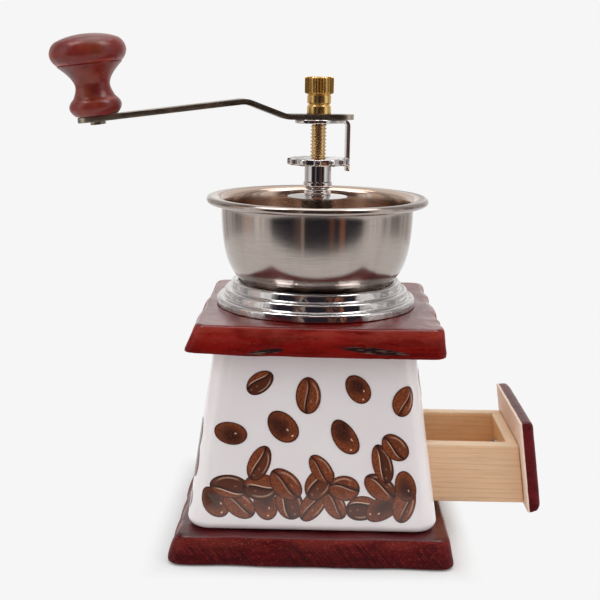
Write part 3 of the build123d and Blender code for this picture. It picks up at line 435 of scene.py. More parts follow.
def glaze():
    """White glaze, paler in slow patches where it lies thicker."""
    tone = colours()
    f = Finish("Glaze", roughness=0.10, coat_weight=0.5, coat_roughness=0.03, specular_ior_level=0.5)
    slow = f.noise((30, 30, 30), 2.0)
    fine = f.noise((5, 5, 5), 2.0)
    return f.set(base_color=f.mix(slow.step(0.35, 0.70), tone.glaze, tone.glaze_pale),
                 normal=f.bump(slow + fine * 0.12, 0.5, 0.25))


def printed_bean():
    """Print of a coffee bean, drawn in the bean's own UV map: V runs along its length."""
    tone = colours()
    f = Finish("Bean print", roughness=0.16, coat_weight=0.5, coat_roughness=0.04, specular_ior_level=0.5)
    u, v = [part * 2 - 1 for part in f.parts(f.add("ShaderNodeUVMap", {"uv_map": "bean"}, {}))[:2]]
    mark = f.add("ShaderNodeAttribute", {"attribute_name": "kind"}, {}, "Color")
    mark = f.add("ShaderNodeSeparateColor", {}, {0: mark})
    creased, lit, middle = mark["Red"], mark["Green"], mark["Blue"] * 0.7 - 0.35
    grain = f.noise((0.7, 0.7, 0.7))
    stain = f.noise((3.2, 3.2, 3.2), 2.0)
    rim = (u * u + v * v) ** 0.5
    ends = abs(v).fall(0.40, 0.85)
    crease = u - middle * (1 - v * v * 0.6) - (v * 2.8).sine() * 0.12

    # Shadow: round on a whole bean, along one half of a creased one
    off = ((u - middle * 0.5) ** 2 + (v - lit * 0.9 + 0.35) ** 2) ** 0.5 + (stain - 0.5) * 0.9
    whole = off.fall(0.20, 1.20) * (1 - creased)
    split_side = (crease * 1.5 + 0.45 + (stain - 0.5)).step(0.0, 0.8) * creased * lit.step(0.15, 0.65)
    stipple = 0.62 + grain.step(0.38, 0.60) * 0.38

    # Highlights: beside the crease, on the cheek, and two dots on a whole bean
    gleam = crease.near(-0.13, 0.012, 0.075) * ends
    cheek = rim.near(0.74, 0.02, 0.09) * (u + v * 0.3 - 0.1).step(0.25, 0.6) * ends
    spot = ((u - middle * 0.5 - 0.25) ** 2 * 3.0 + (v + 0.30) ** 2 * 1.6) ** 0.5
    spot_low = ((u + middle * 0.4 + 0.05) ** 2 * 1.5 + (v + 0.72) ** 2 * 5.0) ** 0.5
    dots = (spot.fall(0.05, 0.13) + spot_low.fall(0.06, 0.15) * lit.step(0.3, 0.5)).smaller(1.0)
    return f.set(base_color=f.layers(
        shaded(tone.bean, 0.52),
        (grain.step(0.32, 0.68) * 0.85, shaded(tone.bean, 1.15)),
        ((whole * 0.95 + split_side * 0.72) * stipple, tone.bean_dark),
        (crease.near(0.0, 0.02, 0.30) * creased * 0.65, tone.bean_dark),
        (crease.near(0.0, 0.015, 0.065) * creased, tone.bean_dark),
        (gleam * creased * (0.30 + lit * 0.55), tone.bean_light),
        (cheek * creased * 0.35, tone.bean_light),
        (dots * (1 - creased * 0.8) * 0.85, tone.bean_light),
        (rim.step(0.86, 0.96) * 0.75, tone.bean_dark)))


def pine_grain(f, fibre_along):
    """Plain wood with growth lines along X or Y: its colour, height, lines and fuzz."""
    tone = colours()
    across = {"x": (150, 5, 5), "y": (5, 150, 5)}[fibre_along]
    thin = (f.axes()[2] * 3.1 + f.noise(across, 2.0) * 9.0).sine().step(0.72, 1.0)
    fuzz = f.noise([0.9 if a < 100 else 14 for a in across])
    shade = f.layers(
        tone.pine,
        (thin * 0.30, tone.pine_line),
        (fuzz.step(0.42, 0.72) * 0.22, tone.pine_line),
        (f.noise((22, 12, 12), 2.0).step(0.42, 0.70) * 0.35, tone.pine_dull))
    return shade, fuzz - thin * 0.4, thin, fuzz


def plain_wood(name, fibre_along, inside=None, top=None):
    """Sanded softwood. inside is the half width within which the wood takes the drawer's inside
    colours, its own tone painted lighter as painted light, and top is the height of the pale sawn edges."""
    tone = colours()
    f = Finish(name, specular_ior_level=0.3)
    _, y, z = f.axes()
    shade, height, thin, fuzz = pine_grain(f, fibre_along)
    if inside:
        # Inside the drawer: its own tone, painted lighter as painted light
        deep = f.mix(thin * 0.25 + fuzz.step(0.4, 0.7) * 0.25, tone.pine_lit_inside, tone.pine_lit_inside_line)
        shade = f.mix(abs(y).fall(inside - 0.1, inside + 0.25), shade, deep)
    if top:
        shade = f.mix(z.step(top - 0.9, top - 0.45) * 0.85, shade, tone.pine_pale)
    return f.set(base_color=shade, roughness=0.55 + fuzz * 0.2, normal=f.bump(height, 0.16, 0.5))


def panel_wood(plane, lean, top):
    """Stained panel whose inner face is bare. The face's plane is x = plane - lean * z, and its
    glossy upper edge is at height top."""
    tone = colours()
    f = Finish("Stained panel", coat_roughness=0.16, specular_ior_level=0.06)
    x, _, z = f.axes()
    shade, height, rough = stain_over(f, tone.stain_panel, (2.2, 22, 1.8), 0.28)
    edge = (f.noise((4, 4, 4)) - 0.5) * 0.5
    bare = (x + z * lean - plane + edge).fall(1.0, 1.25)
    pine, fuzzy, _, _ = pine_grain(f, "y")
    # The bare inner face: its own colour, painted lighter as painted light
    return f.set(base_color=f.mix(bare, shade, f.mix(0.75, pine, tone.pine_bare_lit)),
                 roughness=rough + bare * 0.22,
                 coat_weight=z.step(top - 1.5, top - 0.5) * (1 - bare) * 0.4,
                 normal=f.bump(height * (1 - bare) + fuzzy * bare * 0.4, 0.25, 0.5))


def metal(name, tone, roughness, size, spread=0.08, depth=0.02):
    """Metal with fine scratches or lumps of a size in millimetres."""
    f = Finish(name, metallic=1.0)
    fine = f.noise(size, 4.0)
    slow = f.noise([s * 6 for s in size], 2.0)
    return f.set(base_color=f.mix(slow.step(0.35, 0.75) * 0.35, tone, shaded(tone, 0.72)),
                 roughness=roughness + (fine - 0.5) * spread, normal=f.bump(fine, depth, 0.4))


def spun_steel():
    """Stainless steel brushed round its axis, with soft upright bands of painted reflection and a painted
    warm reflection inside.
    """
    tone = colours()
    f = Finish("Spun steel", metallic=1.0, anisotropic=0.85, anisotropic_rotation=0.25)
    x, y, z = f.axes()
    turn = x.math("ARCTAN2", y, x)
    radius = (x * x + y * y) ** 0.5
    around = f.add("ShaderNodeCombineXYZ", {}, {0: turn * 4.0, 1: radius * 3.4, 2: z * 3.4})
    lines = f.noise_at(around, 4.0)
    # Painted reflection: soft upright bands round the bowl
    reflection_bands = f.noise_at(f.add("ShaderNodeCombineXYZ", {}, {0: turn * 6.0, 2: z * 0.02}), 3.0)
    within = f.add("ShaderNodeAttribute", {"attribute_name": "inside"}, {}, "Fac")
    shade = f.layers(
        tone.steel,
        (lines.step(0.35, 0.70) * 0.25, shaded(tone.steel, 0.68)),
        (reflection_bands.step(0.45, 0.75) * 0.25, shaded(tone.steel, 0.66)),
        # Painted reflection: the inside tinted warm
        (within * 0.62, f.mix(lines.step(0.3, 0.7) * 0.3, tone.warm_reflection, tone.steel)))
    return f.set(base_color=shade, roughness=0.10 + lines * 0.09, normal=f.bump(lines, 0.02, 0.35))


def arm_metal():
    """Dark plating scuffed paler along the arm, darker towards the nut, with a painted highlight at its
    tail.
    """
    tone = colours()
    f = Finish("Gunmetal", metallic=1.0)
    x = f.axes()[0]
    fine = f.noise((5, 1.0, 1.0), 4.0, (0, 0, 14))
    shade = f.layers(
        tone.gunmetal,
        (fine.step(0.35, 0.70) * 0.6, shaded(tone.gunmetal, 0.55)),
        (f.noise((16, 5, 5)).step(0.34, 0.60) * 0.75, tone.scuffed),
        (x.step(-70.0, -15.0) * 0.7, shaded(tone.gunmetal, 0.36)),
        # Painted highlight at the arm's tail
        (x.step(9.0, 12.5) * 0.7, tone.tail_highlight))
    return f.set(base_color=shade, roughness=0.24 + fine * 0.2, normal=f.bump(fine, 0.06, 0.5))


# ---- Mesh building ---------------------------------------------------------------------
def close():
    """Leaves edit mode."""
    if bpy.context.object and bpy.context.object.mode != "OBJECT":
        bpy.ops.object.mode_set(mode="OBJECT")


def alone(piece=None):
    """Leaves edit mode and selects one piece, or none."""
    close()
    bpy.ops.object.select_all(action="DESELECT")
    if piece:
        piece.select_set(True)
        bpy.context.view_layer.objects.active = piece


def edit(piece):
    """Opens a piece in edit mode with all of it selected."""
    alone(piece)
    bpy.ops.object.mode_set(mode="EDIT")
    bpy.ops.mesh.select_all(action="SELECT")


def face_outwards():
    """Turns the faces of the piece in edit mode outwards and leaves edit mode."""
    bpy.ops.mesh.select_all(action="SELECT")
    bpy.ops.mesh.normals_make_consistent(inside=False)
    close()


def linked(name, data):
    """A new object in the scene."""
    piece = bpy.data.objects.new(name, data)
    bpy.context.scene.collection.objects.link(piece)
    return piece


def begin(name, kind, **settings):
    """Adds a primitive and opens it in edit mode."""
    alone()
    getattr(bpy.ops.mesh, f"primitive_{kind}_add")(**settings)
    piece = bpy.context.object
    piece.name = name
    piece.data.name = name
    bpy.ops.object.mode_set(mode="EDIT")
    return piece


def pick(piece, kind, test):
    """Selects the edges or corners that a test accepts. It is given an edge's middle and
    direction, or a corner's place and normal, with places in millimetres."""
    bpy.ops.mesh.select_mode(type=kind)
    bpy.ops.mesh.select_all(action="DESELECT")
    mesh = bmesh.from_edit_mesh(piece.data)
    for element in {"EDGE": mesh.edges, "VERT": mesh.verts}[kind]:
        if kind == "EDGE":
            start, end = (v.co for v in element.verts)
            at, facing = (start + end) / 2, (end - start).normalized()
        else:
            at, facing = element.co, element.normal
        element.select_set(bool(test(at / MM, facing)))
    mesh.select_flush_mode()
    bmesh.update_edit_mesh(piece.data)


def modify(piece, kind, **settings):
    """Adds a modifier and applies it."""
    alone(piece)
    modifier = piece.modifiers.new(kind.title(), kind)
    for name, value in settings.items():
        setattr(modifier, name, value)
    bpy.ops.object.modifier_apply(modifier=modifier.name)


def cut(piece, *cutters):
    """Takes cutters away from a piece and deletes them."""
    for cutter in cutters:
        modify(piece, "BOOLEAN", operation="DIFFERENCE", solver="EXACT", object=cutter)
        bpy.data.objects.remove(cutter)


def rod(radius, low, high, x=0.0, y=0.0):
    """Upright cylinder, as a cutter."""
    alone()
    bpy.ops.mesh.primitive_cylinder_add(
        vertices=64, radius=radius * MM, depth=(high - low) * MM,
        location=(x * MM, y * MM, (low + high) / 2 * MM))
    bpy.ops.object.transform_apply()
    return bpy.context.object


def arc(centre, start, end, radius, steps):
    """Points on an arc between two angles in degrees."""
    angles = [radians(start + (end - start) * i / steps) for i in range(steps + 1)]
    return [(centre[0] + radius * cos(a), centre[1] + radius * sin(a)) for a in angles]


def rounded(corners, steps=5):
    """An outline through corners given as (across, up, radius), rounded by arcs."""
    points = []
    for i, (x, z, radius) in enumerate(corners):
        here = Vector((x, z))
        if radius == 0:
            points.append(here)
            continue
        before = (Vector(corners[i - 1][:2]) - here).normalized()
        after = (Vector(corners[i + 1][:2]) - here).normalized()
        half = acos(max(-1.0, min(1.0, before.dot(after)))) / 2
        centre = here + (before + after).normalized() * radius / sin(half)
        first = here + before * radius / tan(half) - centre
        last = here + after * radius / tan(half) - centre
        points += [centre + first.normalized().slerp(last.normalized(), k / steps) * radius
                   for k in range(steps + 1)]
    return points


def curve(points, first, last):
    """A smooth line through points that leaves and arrives in the given directions."""
    points = [Vector(p) for p in points]
    line = []
    for i, (start, end) in enumerate(zip(points, points[1:])):
        out = points[i + 1] - points[i - 1] if i else Vector(first)
        into = points[i + 2] - points[i] if i < len(points) - 2 else Vector(last)
        reach = (end - start).length / 3
        stretch = interpolate_bezier(
            start, start + out.normalized() * reach, end - into.normalized() * reach, end,
            CURVE_POINTS)
        line += stretch[bool(i):]
    return line


def lathe(name, outline, steps=96):
    """Turns an outline of (radius, height) points in millimetres about the upright axis."""
    piece = begin(name, "plane", size=MM)
    bpy.ops.mesh.merge(type="CENTER")
    across, up = outline[0]
    bpy.ops.transform.translate(value=(across * MM, 0, up * MM))
    for point in outline[1:]:
        if (Vector(point) - Vector((across, up))).length < 1e-4:
            continue
        bpy.ops.mesh.extrude_vertices_move(
            TRANSFORM_OT_translate={"value": ((point[0] - across) * MM, 0, (point[1] - up) * MM)})
        across, up = point
    bpy.ops.mesh.select_all(action="SELECT")
    bpy.ops.mesh.spin(steps=steps, angle=2 * pi, center=(0, 0, 0), axis=(0, 0, 1))
    bpy.ops.mesh.select_all(action="SELECT")
    bpy.ops.mesh.remove_doubles(threshold=MERGE)
    face_outwards()
    return piece


def place(piece, matrix):
    """Moves a piece's mesh, leaving its object at the origin."""
    alone(piece)
    piece.matrix_world = matrix
    bpy.ops.object.transform_apply()


def join(piece, *others):
    """Makes one piece of several."""
    alone(piece)
    for other in others:
        other.select_set(True)
    bpy.ops.object.join()
    return piece


def keep(piece, body, slot, material, *nodes, smooth=35.0):
    """Shades a finished piece, gives it its finish and hands it to the body it rides on."""
    alone(piece)
    bpy.ops.object.shade_smooth_by_angle(angle=radians(smooth))
    piece.data.materials.clear()
    piece.data.materials.append(material)
    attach(piece, body)
    if nodes:
        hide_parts(*nodes)


def dress(material, *nodes):
    """Gives CAD nodes a finish."""
    for node in nodes:
        mesh = frame["nodes"][node].data
        mesh.materials.clear()
        mesh.materials.append(material)


class Maker:
    """What the operators share: running one makes its pieces from the sizes set in the scene."""

    bl_options = {"REGISTER", "UNDO"}

    def execute(self, context):
        self.make(context.scene.grinder_sizes)
        return {"FINISHED"}


# ---- Boards ----------------------------------------------------------------------------
def board(name, low, high, crest, corner, crest_round, foot_round, left, right):
    """Square board with rounded corners and edges whose sides lean in to a crest, and further in
    on the left and on the right."""
    foot, half = high.x, (high.z - low.z) / 2
    piece = begin(name, "cube", size=1.0, location=(low + high) / 2 * MM)
    bpy.ops.transform.resize(value=(2 * foot * MM, 2 * foot * MM, 2 * half * MM))
    pick(piece, "EDGE", lambda p, d: abs(d.z) > 0.9)
    bpy.ops.mesh.bevel(offset=corner * MM, segments=5, affect="EDGES")
    pick(piece, "VERT", lambda p, n: p.z > 0)
    bpy.ops.transform.resize(value=(crest / foot, crest / foot, 1))
    for side, inwards in ((-1, left), (1, right)):
        pick(piece, "VERT", lambda p, n: p.z > 0 and p.x * side > 0)
        bpy.ops.transform.translate(value=(-side * inwards * MM, 0, 0))
    for end, rounding, segments in ((1, crest_round, 3), (-1, foot_round, 4)):
        pick(piece, "EDGE", lambda p, d: abs(d.z) < 0.1 and p.z * end > half - 0.1)
        bpy.ops.mesh.bevel(offset=rounding * MM, segments=segments, affect="EDGES")
    close()
    bpy.ops.object.transform_apply()
    return piece


def wear(piece, depth, lump, seed):
    """Wears a piece inwards by up to a depth, in lumps of a size in millimetres. The seed says
    where in the clouds the wear is read."""
    clouds = bpy.data.textures.new("Wear", "CLOUDS")
    clouds.noise_scale = lump * MM
    clouds.noise_depth = 2
    alone(piece)
    bpy.ops.mesh.primitive_plane_add(size=MM, location=(seed * 0.1, 0.03, 0.02))
    anchor = bpy.context.object
    modify(piece, "DISPLACE", texture=clouds, strength=-depth * MM, mid_level=0.0,
           texture_coords="OBJECT", texture_coords_object=anchor)
    bpy.data.objects.remove(anchor)


def press(piece, at, push, reach):
    """Pushes the surface near a point, fading out over a reach, all in millimetres."""
    edit(piece)
    at = Vector(at)
    nearest = min((v.co / MM - at).length for v in bmesh.from_edit_mesh(piece.data).verts) + 0.01
    pick(piece, "VERT", lambda p, n: (p - at).length <= nearest)
    bpy.ops.transform.translate(
        value=[c * MM for c in push], use_proportional_edit=True, use_proportional_connected=True,
        proportional_edit_falloff="SMOOTH", proportional_size=reach * MM)
    close()


def press_row(piece, axis, side, height, *dents):
    """Presses one side of a board, which stands at a distance along X or Y, at places given as
    (along, inwards, upwards, reach)."""
    for along, inwards, upwards, reach in dents:
        push = inwards if side < 0 else -inwards
        if axis == "x":
            press(piece, (side, along, height), (push, 0, upwards), reach)
        else:
            press(piece, (along, side, height), (0, push, upwards), reach)


def softened(node, name, rounding):
    """A copy of a CAD node with its facets merged and its edges rounded."""
    piece = linked(name, frame["nodes"][node].data.copy())
    alone(piece)
    bpy.ops.mesh.customdata_custom_splitnormals_clear()
    edit(piece)
    bpy.ops.mesh.remove_doubles(threshold=MERGE)
    bpy.ops.mesh.dissolve_limited(angle_limit=radians(1.0))
    modify(piece, "BEVEL", width=rounding * MM, segments=2, limit_method="ANGLE", angle_limit=radians(50))
    return piece


# Dark hollows in the top board's front: x, z, half length, half height and slope
HOLLOWS = ((-18.0, TOP_LOW.z + 2.4, 8.0, 1.0, 0.13), (21.5, TOP_LOW.z + 3.3, 14.0, 1.25, -0.07))
# Half the boards' width at their crests, which their sides lean in to by 13 and 12 degrees
BASE_CREST = BASE_HIGH.x - (BASE_HIGH.z - BASE_LOW.z) * tan(radians(13)) + 0.6
TOP_CREST = TOP_HIGH.x - (TOP_HIGH.z - TOP_LOW.z) * tan(radians(12))
LONG_WEAR, SHORT_WEAR = 16.0, 2.5       # sizes of the worn lumps


class GRINDER_OT_boards(Maker, bpy.types.Operator):
    """Models the two stained boards with their worn edges"""

    bl_idname = "grinder.boards"
    bl_label = "Boards"

    def make(self, size):
        tone, worn = colours(), size.wear / MM
        base = board("base_board", BASE_LOW, BASE_HIGH, BASE_CREST, corner=5.5, crest_round=1.4,
                     foot_round=1.9, left=2.2, right=0.3)
        top = board("top_board", TOP_LOW, TOP_HIGH, TOP_CREST, corner=5.0, crest_round=1.3,
                    foot_round=1.6, left=2.0, right=-1.0)
        for piece, seed in ((base, 1), (top, 2)):
            modify(piece, "REMESH", mode="VOXEL", voxel_size=size.wood_cell)
            wear(piece, worn, LONG_WEAR, seed)
            wear(piece, worn * 0.4, SHORT_WEAR, seed + 5)
        self.press_base(base)
        self.press_top(top)
        for x, y in tie_places():
            cut(base, rod(WASHER_HOLE_R, -PAST, WASHER_HOLE_TOP, x, y),
                rod(BOLT_HOLE_R, 0, BASE_HIGH.z + PAST, x, y))
            cut(top, rod(INSERT_R, TOP_LOW.z - PAST, TOP_LOW.z + INSERT_HOLE_DEPTH, x, y))
        cut(top, rod(box("outer_burr")[1].x + BURR_GAP, TOP_LOW.z - PAST, TOP_HIGH.z + PAST))
        finish = stained_board("Stained base", tone.stain_base, BASE_LOW.z, BASE_HIGH.z, BASE_CREST,
                               glow=0.62, sawn=1.0)
        keep(base, "frame", "stained_wood", finish, "base_plate", smooth=60)
        finish = stained_board("Stained top", tone.stain_top, TOP_LOW.z, TOP_HIGH.z, TOP_CREST,
                               glow=1.0, hollows=HOLLOWS)
        keep(top, "frame", "stained_wood", finish, "top_plate", smooth=60)

    @staticmethod
    def press_base(base):
        """Dents the base board's front along its crest and foot, and swells its left side."""
        front = -BASE_HIGH.x
        press_row(base, "y", front + 2.6, BASE_HIGH.z,
                  (-42, 0.3, -0.5, 14), (-20, 0.5, -0.3, 12), (6, 0.3, -0.5, 16), (34, 0.6, -0.4, 12))
        press_row(base, "y", front + 0.6, BASE_LOW.z + 4,
                  (-30, 0.7, 0, 14), (2, 0.5, 0, 12), (33, 0.8, 0, 15))
        press_row(base, "x", front + 1.6, BASE_HIGH.z / 2, (-46, -1.3, 0, 12), (-30, -1.1, 0, 12),
                  (-10, -0.8, 0, 12), (14, -1.2, 0, 12), (38, -0.9, 0, 12))

    @staticmethod
    def press_top(top):
        """Dents the top board's front, opens its hollows, and dents its right and left crests."""
        front = -TOP_HIGH.x
        press_row(top, "y", front + 1.8, TOP_HIGH.z, (-35, 0.2, -0.3, 12), (22, 0.2, -0.3, 14))
        press_row(top, "y", front + 0.6, TOP_LOW.z, (-46, 0, 0.9, 30), (-12, 0, 0.3, 16))
        for x, z, long, tall, slope in HOLLOWS:
            for share in (-0.55, 0.0, 0.55):
                at = (x + share * long, front + 1.2, z + share * long * slope)
                press(top, at, (0, 0.9 - abs(share) * 0.5, 0), tall * 2.6)
        press_row(top, "x", TOP_CREST, TOP_HIGH.z,
                  (-22, 1.0, -0.3, 9), (-34, 0.7, -0.3, 7), (6, 0.8, -0.3, 12), (28, 0.9, -0.3, 12))
        press_row(top, "x", -TOP_CREST, TOP_HIGH.z,
                  (-40, 0.5, -0.2, 18), (-10, 0.8, -0.2, 14), (14, 0.7, -0.2, 16), (34, 0.9, -0.2, 18))


# ---- Ceramic body ----------------------------------------------------------------------
# The print's layout, in millimetres and degrees
HEAP_ROWS = (               # rise above the foot, gaps and turns, each from least to most
    (0.0, (7.6, 10.8), (-90, 90)), (8.0, (9.0, 15.0), (-90, 90)), (14.0, (20.0, 32.0), (-40, 40)))
HEAP_FOOT = BODY_LOW.z + 4.2
HEAP_HALF = 45.0            # half the heap's width
SCATTER_HALF, SCATTER_LOW, SCATTER_HIGH = 38, HEAP_FOOT + 29, BODY_HIGH.z - 3.0
SCATTER_TRIES = 600
SCATTER_APART = 15.0        # least distance between the middles of two loose beans
SIDE_MARGIN = 2.4           # bare glaze along the wall's edges
PRINT_SEED = 57
CREASED_SHARE = 0.74        # share of the beans that show their crease
MOUTH_HALF, MOUTH_TOP = 33.0, 50.0      # bare glaze round the drawer's mouth
DRAWER_WALL = 1             # the wall that the drawer comes out of
LAYER = 0.005               # how much further out each bean of a wall lies than the last


class Wall:
    """One leaning wall of the ceramic body: places are (across, height) in millimetres."""

    def __init__(self, turn):
        self.turn = Matrix.Rotation(radians(turn), 4, "Z")

    @staticmethod
    def face(height):
        """Distance of the wall's outside from the axis."""
        return BODY_HEAD + (BODY_HIGH.z - height) * BODY_LEAN

    def place(self, across, height, spin):
        """Places a flat piece, drawn in XY, on the wall and turned in it by degrees."""
        tilt = Matrix.Rotation(pi / 2 - atan2(BODY_LEAN, 1), 4, "X")
        at = Matrix.Translation((across * MM, -self.face(height) * MM, height * MM))
        return self.turn @ at @ tilt @ Matrix.Rotation(radians(spin), 4, "Z")


class Bean:
    """Size, turn and place of one printed bean, in millimetres and degrees."""

    def __init__(self, rng, size, spin):
        self.tall = size.bean_length / MM / 2 * rng.uniform(0.80, 1.10)
        self.wide = size.bean_width / MM / 2 * rng.uniform(0.76, 1.10)
        self.spin = spin
        self.bend = rng.uniform(-0.06, 0.06)
        self.mark = (float(rng.random() < CREASED_SHARE), rng.random(), rng.random(), 1.0)
        self.across = self.height = 0.0

    def reach(self, along):
        """Half the bean's size along the wall's width or height."""
        turn = radians(self.spin)
        share = (sin(turn), cos(turn)) if along == "width" else (cos(turn), sin(turn))
        return ((self.tall * share[0]) ** 2 + (self.wide * share[1]) ** 2) ** 0.5

    def fits(self):
        """Whether the bean keeps off the wall's edges."""
        return abs(self.across) + self.reach("width") < Wall.face(self.height) - SIDE_MARGIN

    def in_mouth(self):
        """Whether the bean lies where the drawer comes out."""
        return abs(self.across) < MOUTH_HALF and self.height < MOUTH_TOP


def bean_layout(rng, size, mouth):
    """A heap of beans along the foot and a scatter above it, without the drawer's mouth."""
    beans = []
    for rise, gaps, spins in HEAP_ROWS:
        across = -HEAP_HALF + rng.uniform(0, 3)
        while across < HEAP_HALF:
            bean = Bean(rng, size, rng.uniform(*spins))
            bean.across = across
            bean.height = HEAP_FOOT + rise + bean.reach("height") + rng.uniform(0.0, 1.6)
            if bean.fits():
                beans.append(bean)
            across += rng.uniform(*gaps)
    scatter = []
    for _ in range(SCATTER_TRIES):
        bean = Bean(rng, size, rng.uniform(-90, 90))
        bean.across = rng.uniform(-SCATTER_HALF, SCATTER_HALF)
        bean.height = rng.uniform(SCATTER_LOW, SCATTER_HIGH)
        spot = Vector((bean.across, bean.height))
        room = bean.fits() and bean.height + bean.reach("height") < SCATTER_HIGH
        if room and all((spot - other).length > SCATTER_APART for other in scatter):
            scatter.append(spot)
            beans.append(bean)
    return [bean for bean in beans if not (mouth and bean.in_mouth())]


class GRINDER_OT_body(Maker, bpy.types.Operator):
    """Glazes the ceramic body and prints coffee beans on its four walls"""

    bl_idname = "grinder.body"
    bl_label = "Ceramic Body"

    def make(self, size):
        dress(glaze(), "ceramic_body")
        rng = Random(PRINT_SEED)
        blank = self.blank()
        beans = []
        for wall in range(4):
            side = Wall(90.0 * wall)
            for i, bean in enumerate(bean_layout(rng, size, wall == DRAWER_WALL)):
                piece = linked("bean", blank.data.copy())
                self.shape(piece, bean)
                place(piece, side.place(bean.across, bean.height, bean.spin))
                modify(piece, "SHRINKWRAP", target=frame["nodes"]["ceramic_body"],
                       wrap_method="NEAREST_SURFACEPOINT", wrap_mode="ABOVE_SURFACE",
                       offset=size.print_proud + LAYER * MM * i)
                beans.append(piece)
        bpy.data.objects.remove(blank)
        sheet = join(*beans)
        sheet.name = "bean_print"
        edit(sheet)
        bpy.ops.mesh.extrude_region_shrink_fatten(
            TRANSFORM_OT_shrink_fatten={"value": -size.print_proud * 0.9})
        face_outwards()
        keep(sheet, "frame", "glazed_ceramic", printed_bean())

    @staticmethod
    def blank():
        """A flat round disc of rings, with a UV map over it."""
        piece = begin("bean", "circle", vertices=28, radius=1.0, fill_type="NGON")
        for _ in range(3):
            bpy.ops.mesh.inset(thickness=0.26, depth=0)
        bpy.ops.mesh.poke()
        close()
        layer = piece.data.uv_layers.new(name="bean")
        for loop in piece.data.loops:
            spot = piece.data.vertices[loop.vertex_index].co
            layer.data[loop.index].uv = (0.5 + spot.x / 2, 0.5 + spot.y / 2)
        return piece

    @staticmethod
    def shape(piece, bean):
        """Gives one blank a bean's outline and tells its print what kind of bean it shows."""
        kind = piece.data.color_attributes.new("kind", "FLOAT_COLOR", "POINT")
        for value in kind.data:
            value.color = bean.mark
        for vertex in piece.data.vertices:
            x, y, _ = vertex.co
            out = (x * (1 - 0.05 * y) + bean.bend * (y * y - 0.5)) * bean.wide
            vertex.co = (out * MM, y * (1 + 0.04 * x) * bean.tall * MM, 0)


# ---- Flange and bowl -------------------------------------------------------------------
BOWL_FLOOR_R, THROAT_R = 25.0, 15.5     # the bowl's flat floor and the hole in it
LIP_FLARE, LIP_DROP = 5.9, 2.7          # how far the rim stands outside and above the brow
RIM_ROLL = 1.5                          # radius of the rolled rim
WEB_R, WEB_THICK = 16.5, 2.5            # hole in the flange's web, and the web's thickness
STEPS, TREAD = 3, 3.0                   # the flange's steps, and how far each stands in
STEP_EDGE_ROUND, STEP_FOOT_ROUND = 1.4, 0.5     # radii at a step's upper edge and at its foot
HOLLOW_TOP, HOLLOW_FOOT = 7.2, 2.2      # how far in its hollow starts, at the web and at the foot
BOWL_GAP = 0.3                          # play between the flange and the bowl


def bowl_outside():
    """The bowl's outside from its floor to the foot of its lip, and the four points that it is
    drawn through: foot, belly, flank and brow."""
    low, side, top = BOWL_LOW.z, BOWL_HIGH.x - LIP_FLARE, BOWL_HIGH.z - LIP_DROP
    reach, rise = side - BOWL_FLOOR_R, top - low
    points = [(BOWL_FLOOR_R, low), (BOWL_FLOOR_R + 0.62 * reach, low + 0.19 * rise),
              (BOWL_FLOOR_R + 0.90 * reach, low + 0.47 * rise), (side, top)]
    return curve(points, (1, 0), (0, 1)), points


def radius_at(outline, height):
    """Radius of an outline that rises, at a height."""
    for start, end in zip(outline, outline[1:]):
        if start.y <= height <= end.y:
            return start.x + (end.x - start.x) * (height - start.y) / max(end.y - start.y, 1e-6)
    return outline[-1].x


class GRINDER_OT_flange(Maker, bpy.types.Operator):
    """Turns the stepped flange that carries the bowl"""

    bl_idname = "grinder.flange"
    bl_label = "Stepped Flange"

    def make(self, size):
        radius, low, high, bowl = FLANGE_HIGH.x, FLANGE_LOW.z, FLANGE_HIGH.z, BOWL_LOW.z
        rise, web = (high - low) / STEPS, bowl - WEB_THICK
        corners = []
        for i in range(STEPS):
            corners.append((radius - i * TREAD, low + i * rise, STEP_FOOT_ROUND if i else 0))
            corners.append((radius - i * TREAD, low + (i + 1) * rise, STEP_EDGE_ROUND))
        mouth = radius_at(bowl_outside()[0], high) + BOWL_GAP
        corners += [(mouth, high, 0.3), (mouth, bowl, 0), (WEB_R, bowl, 0), (WEB_R, web, 0),
                    (radius - HOLLOW_TOP, web, 0), (radius - HOLLOW_FOOT, low, 0), (radius, low, 0)]
        piece = lathe("flange", rounded(corners, 7), steps=168)
        wear(piece, size.flange_lumps / MM, 3.6, seed=3)
        finish = metal("Flange chrome", colours().chrome, 0.07, (3, 3, 2.0), spread=0.05, depth=0.34)
        keep(piece, "frame", "chrome", finish, "stepped_flange")


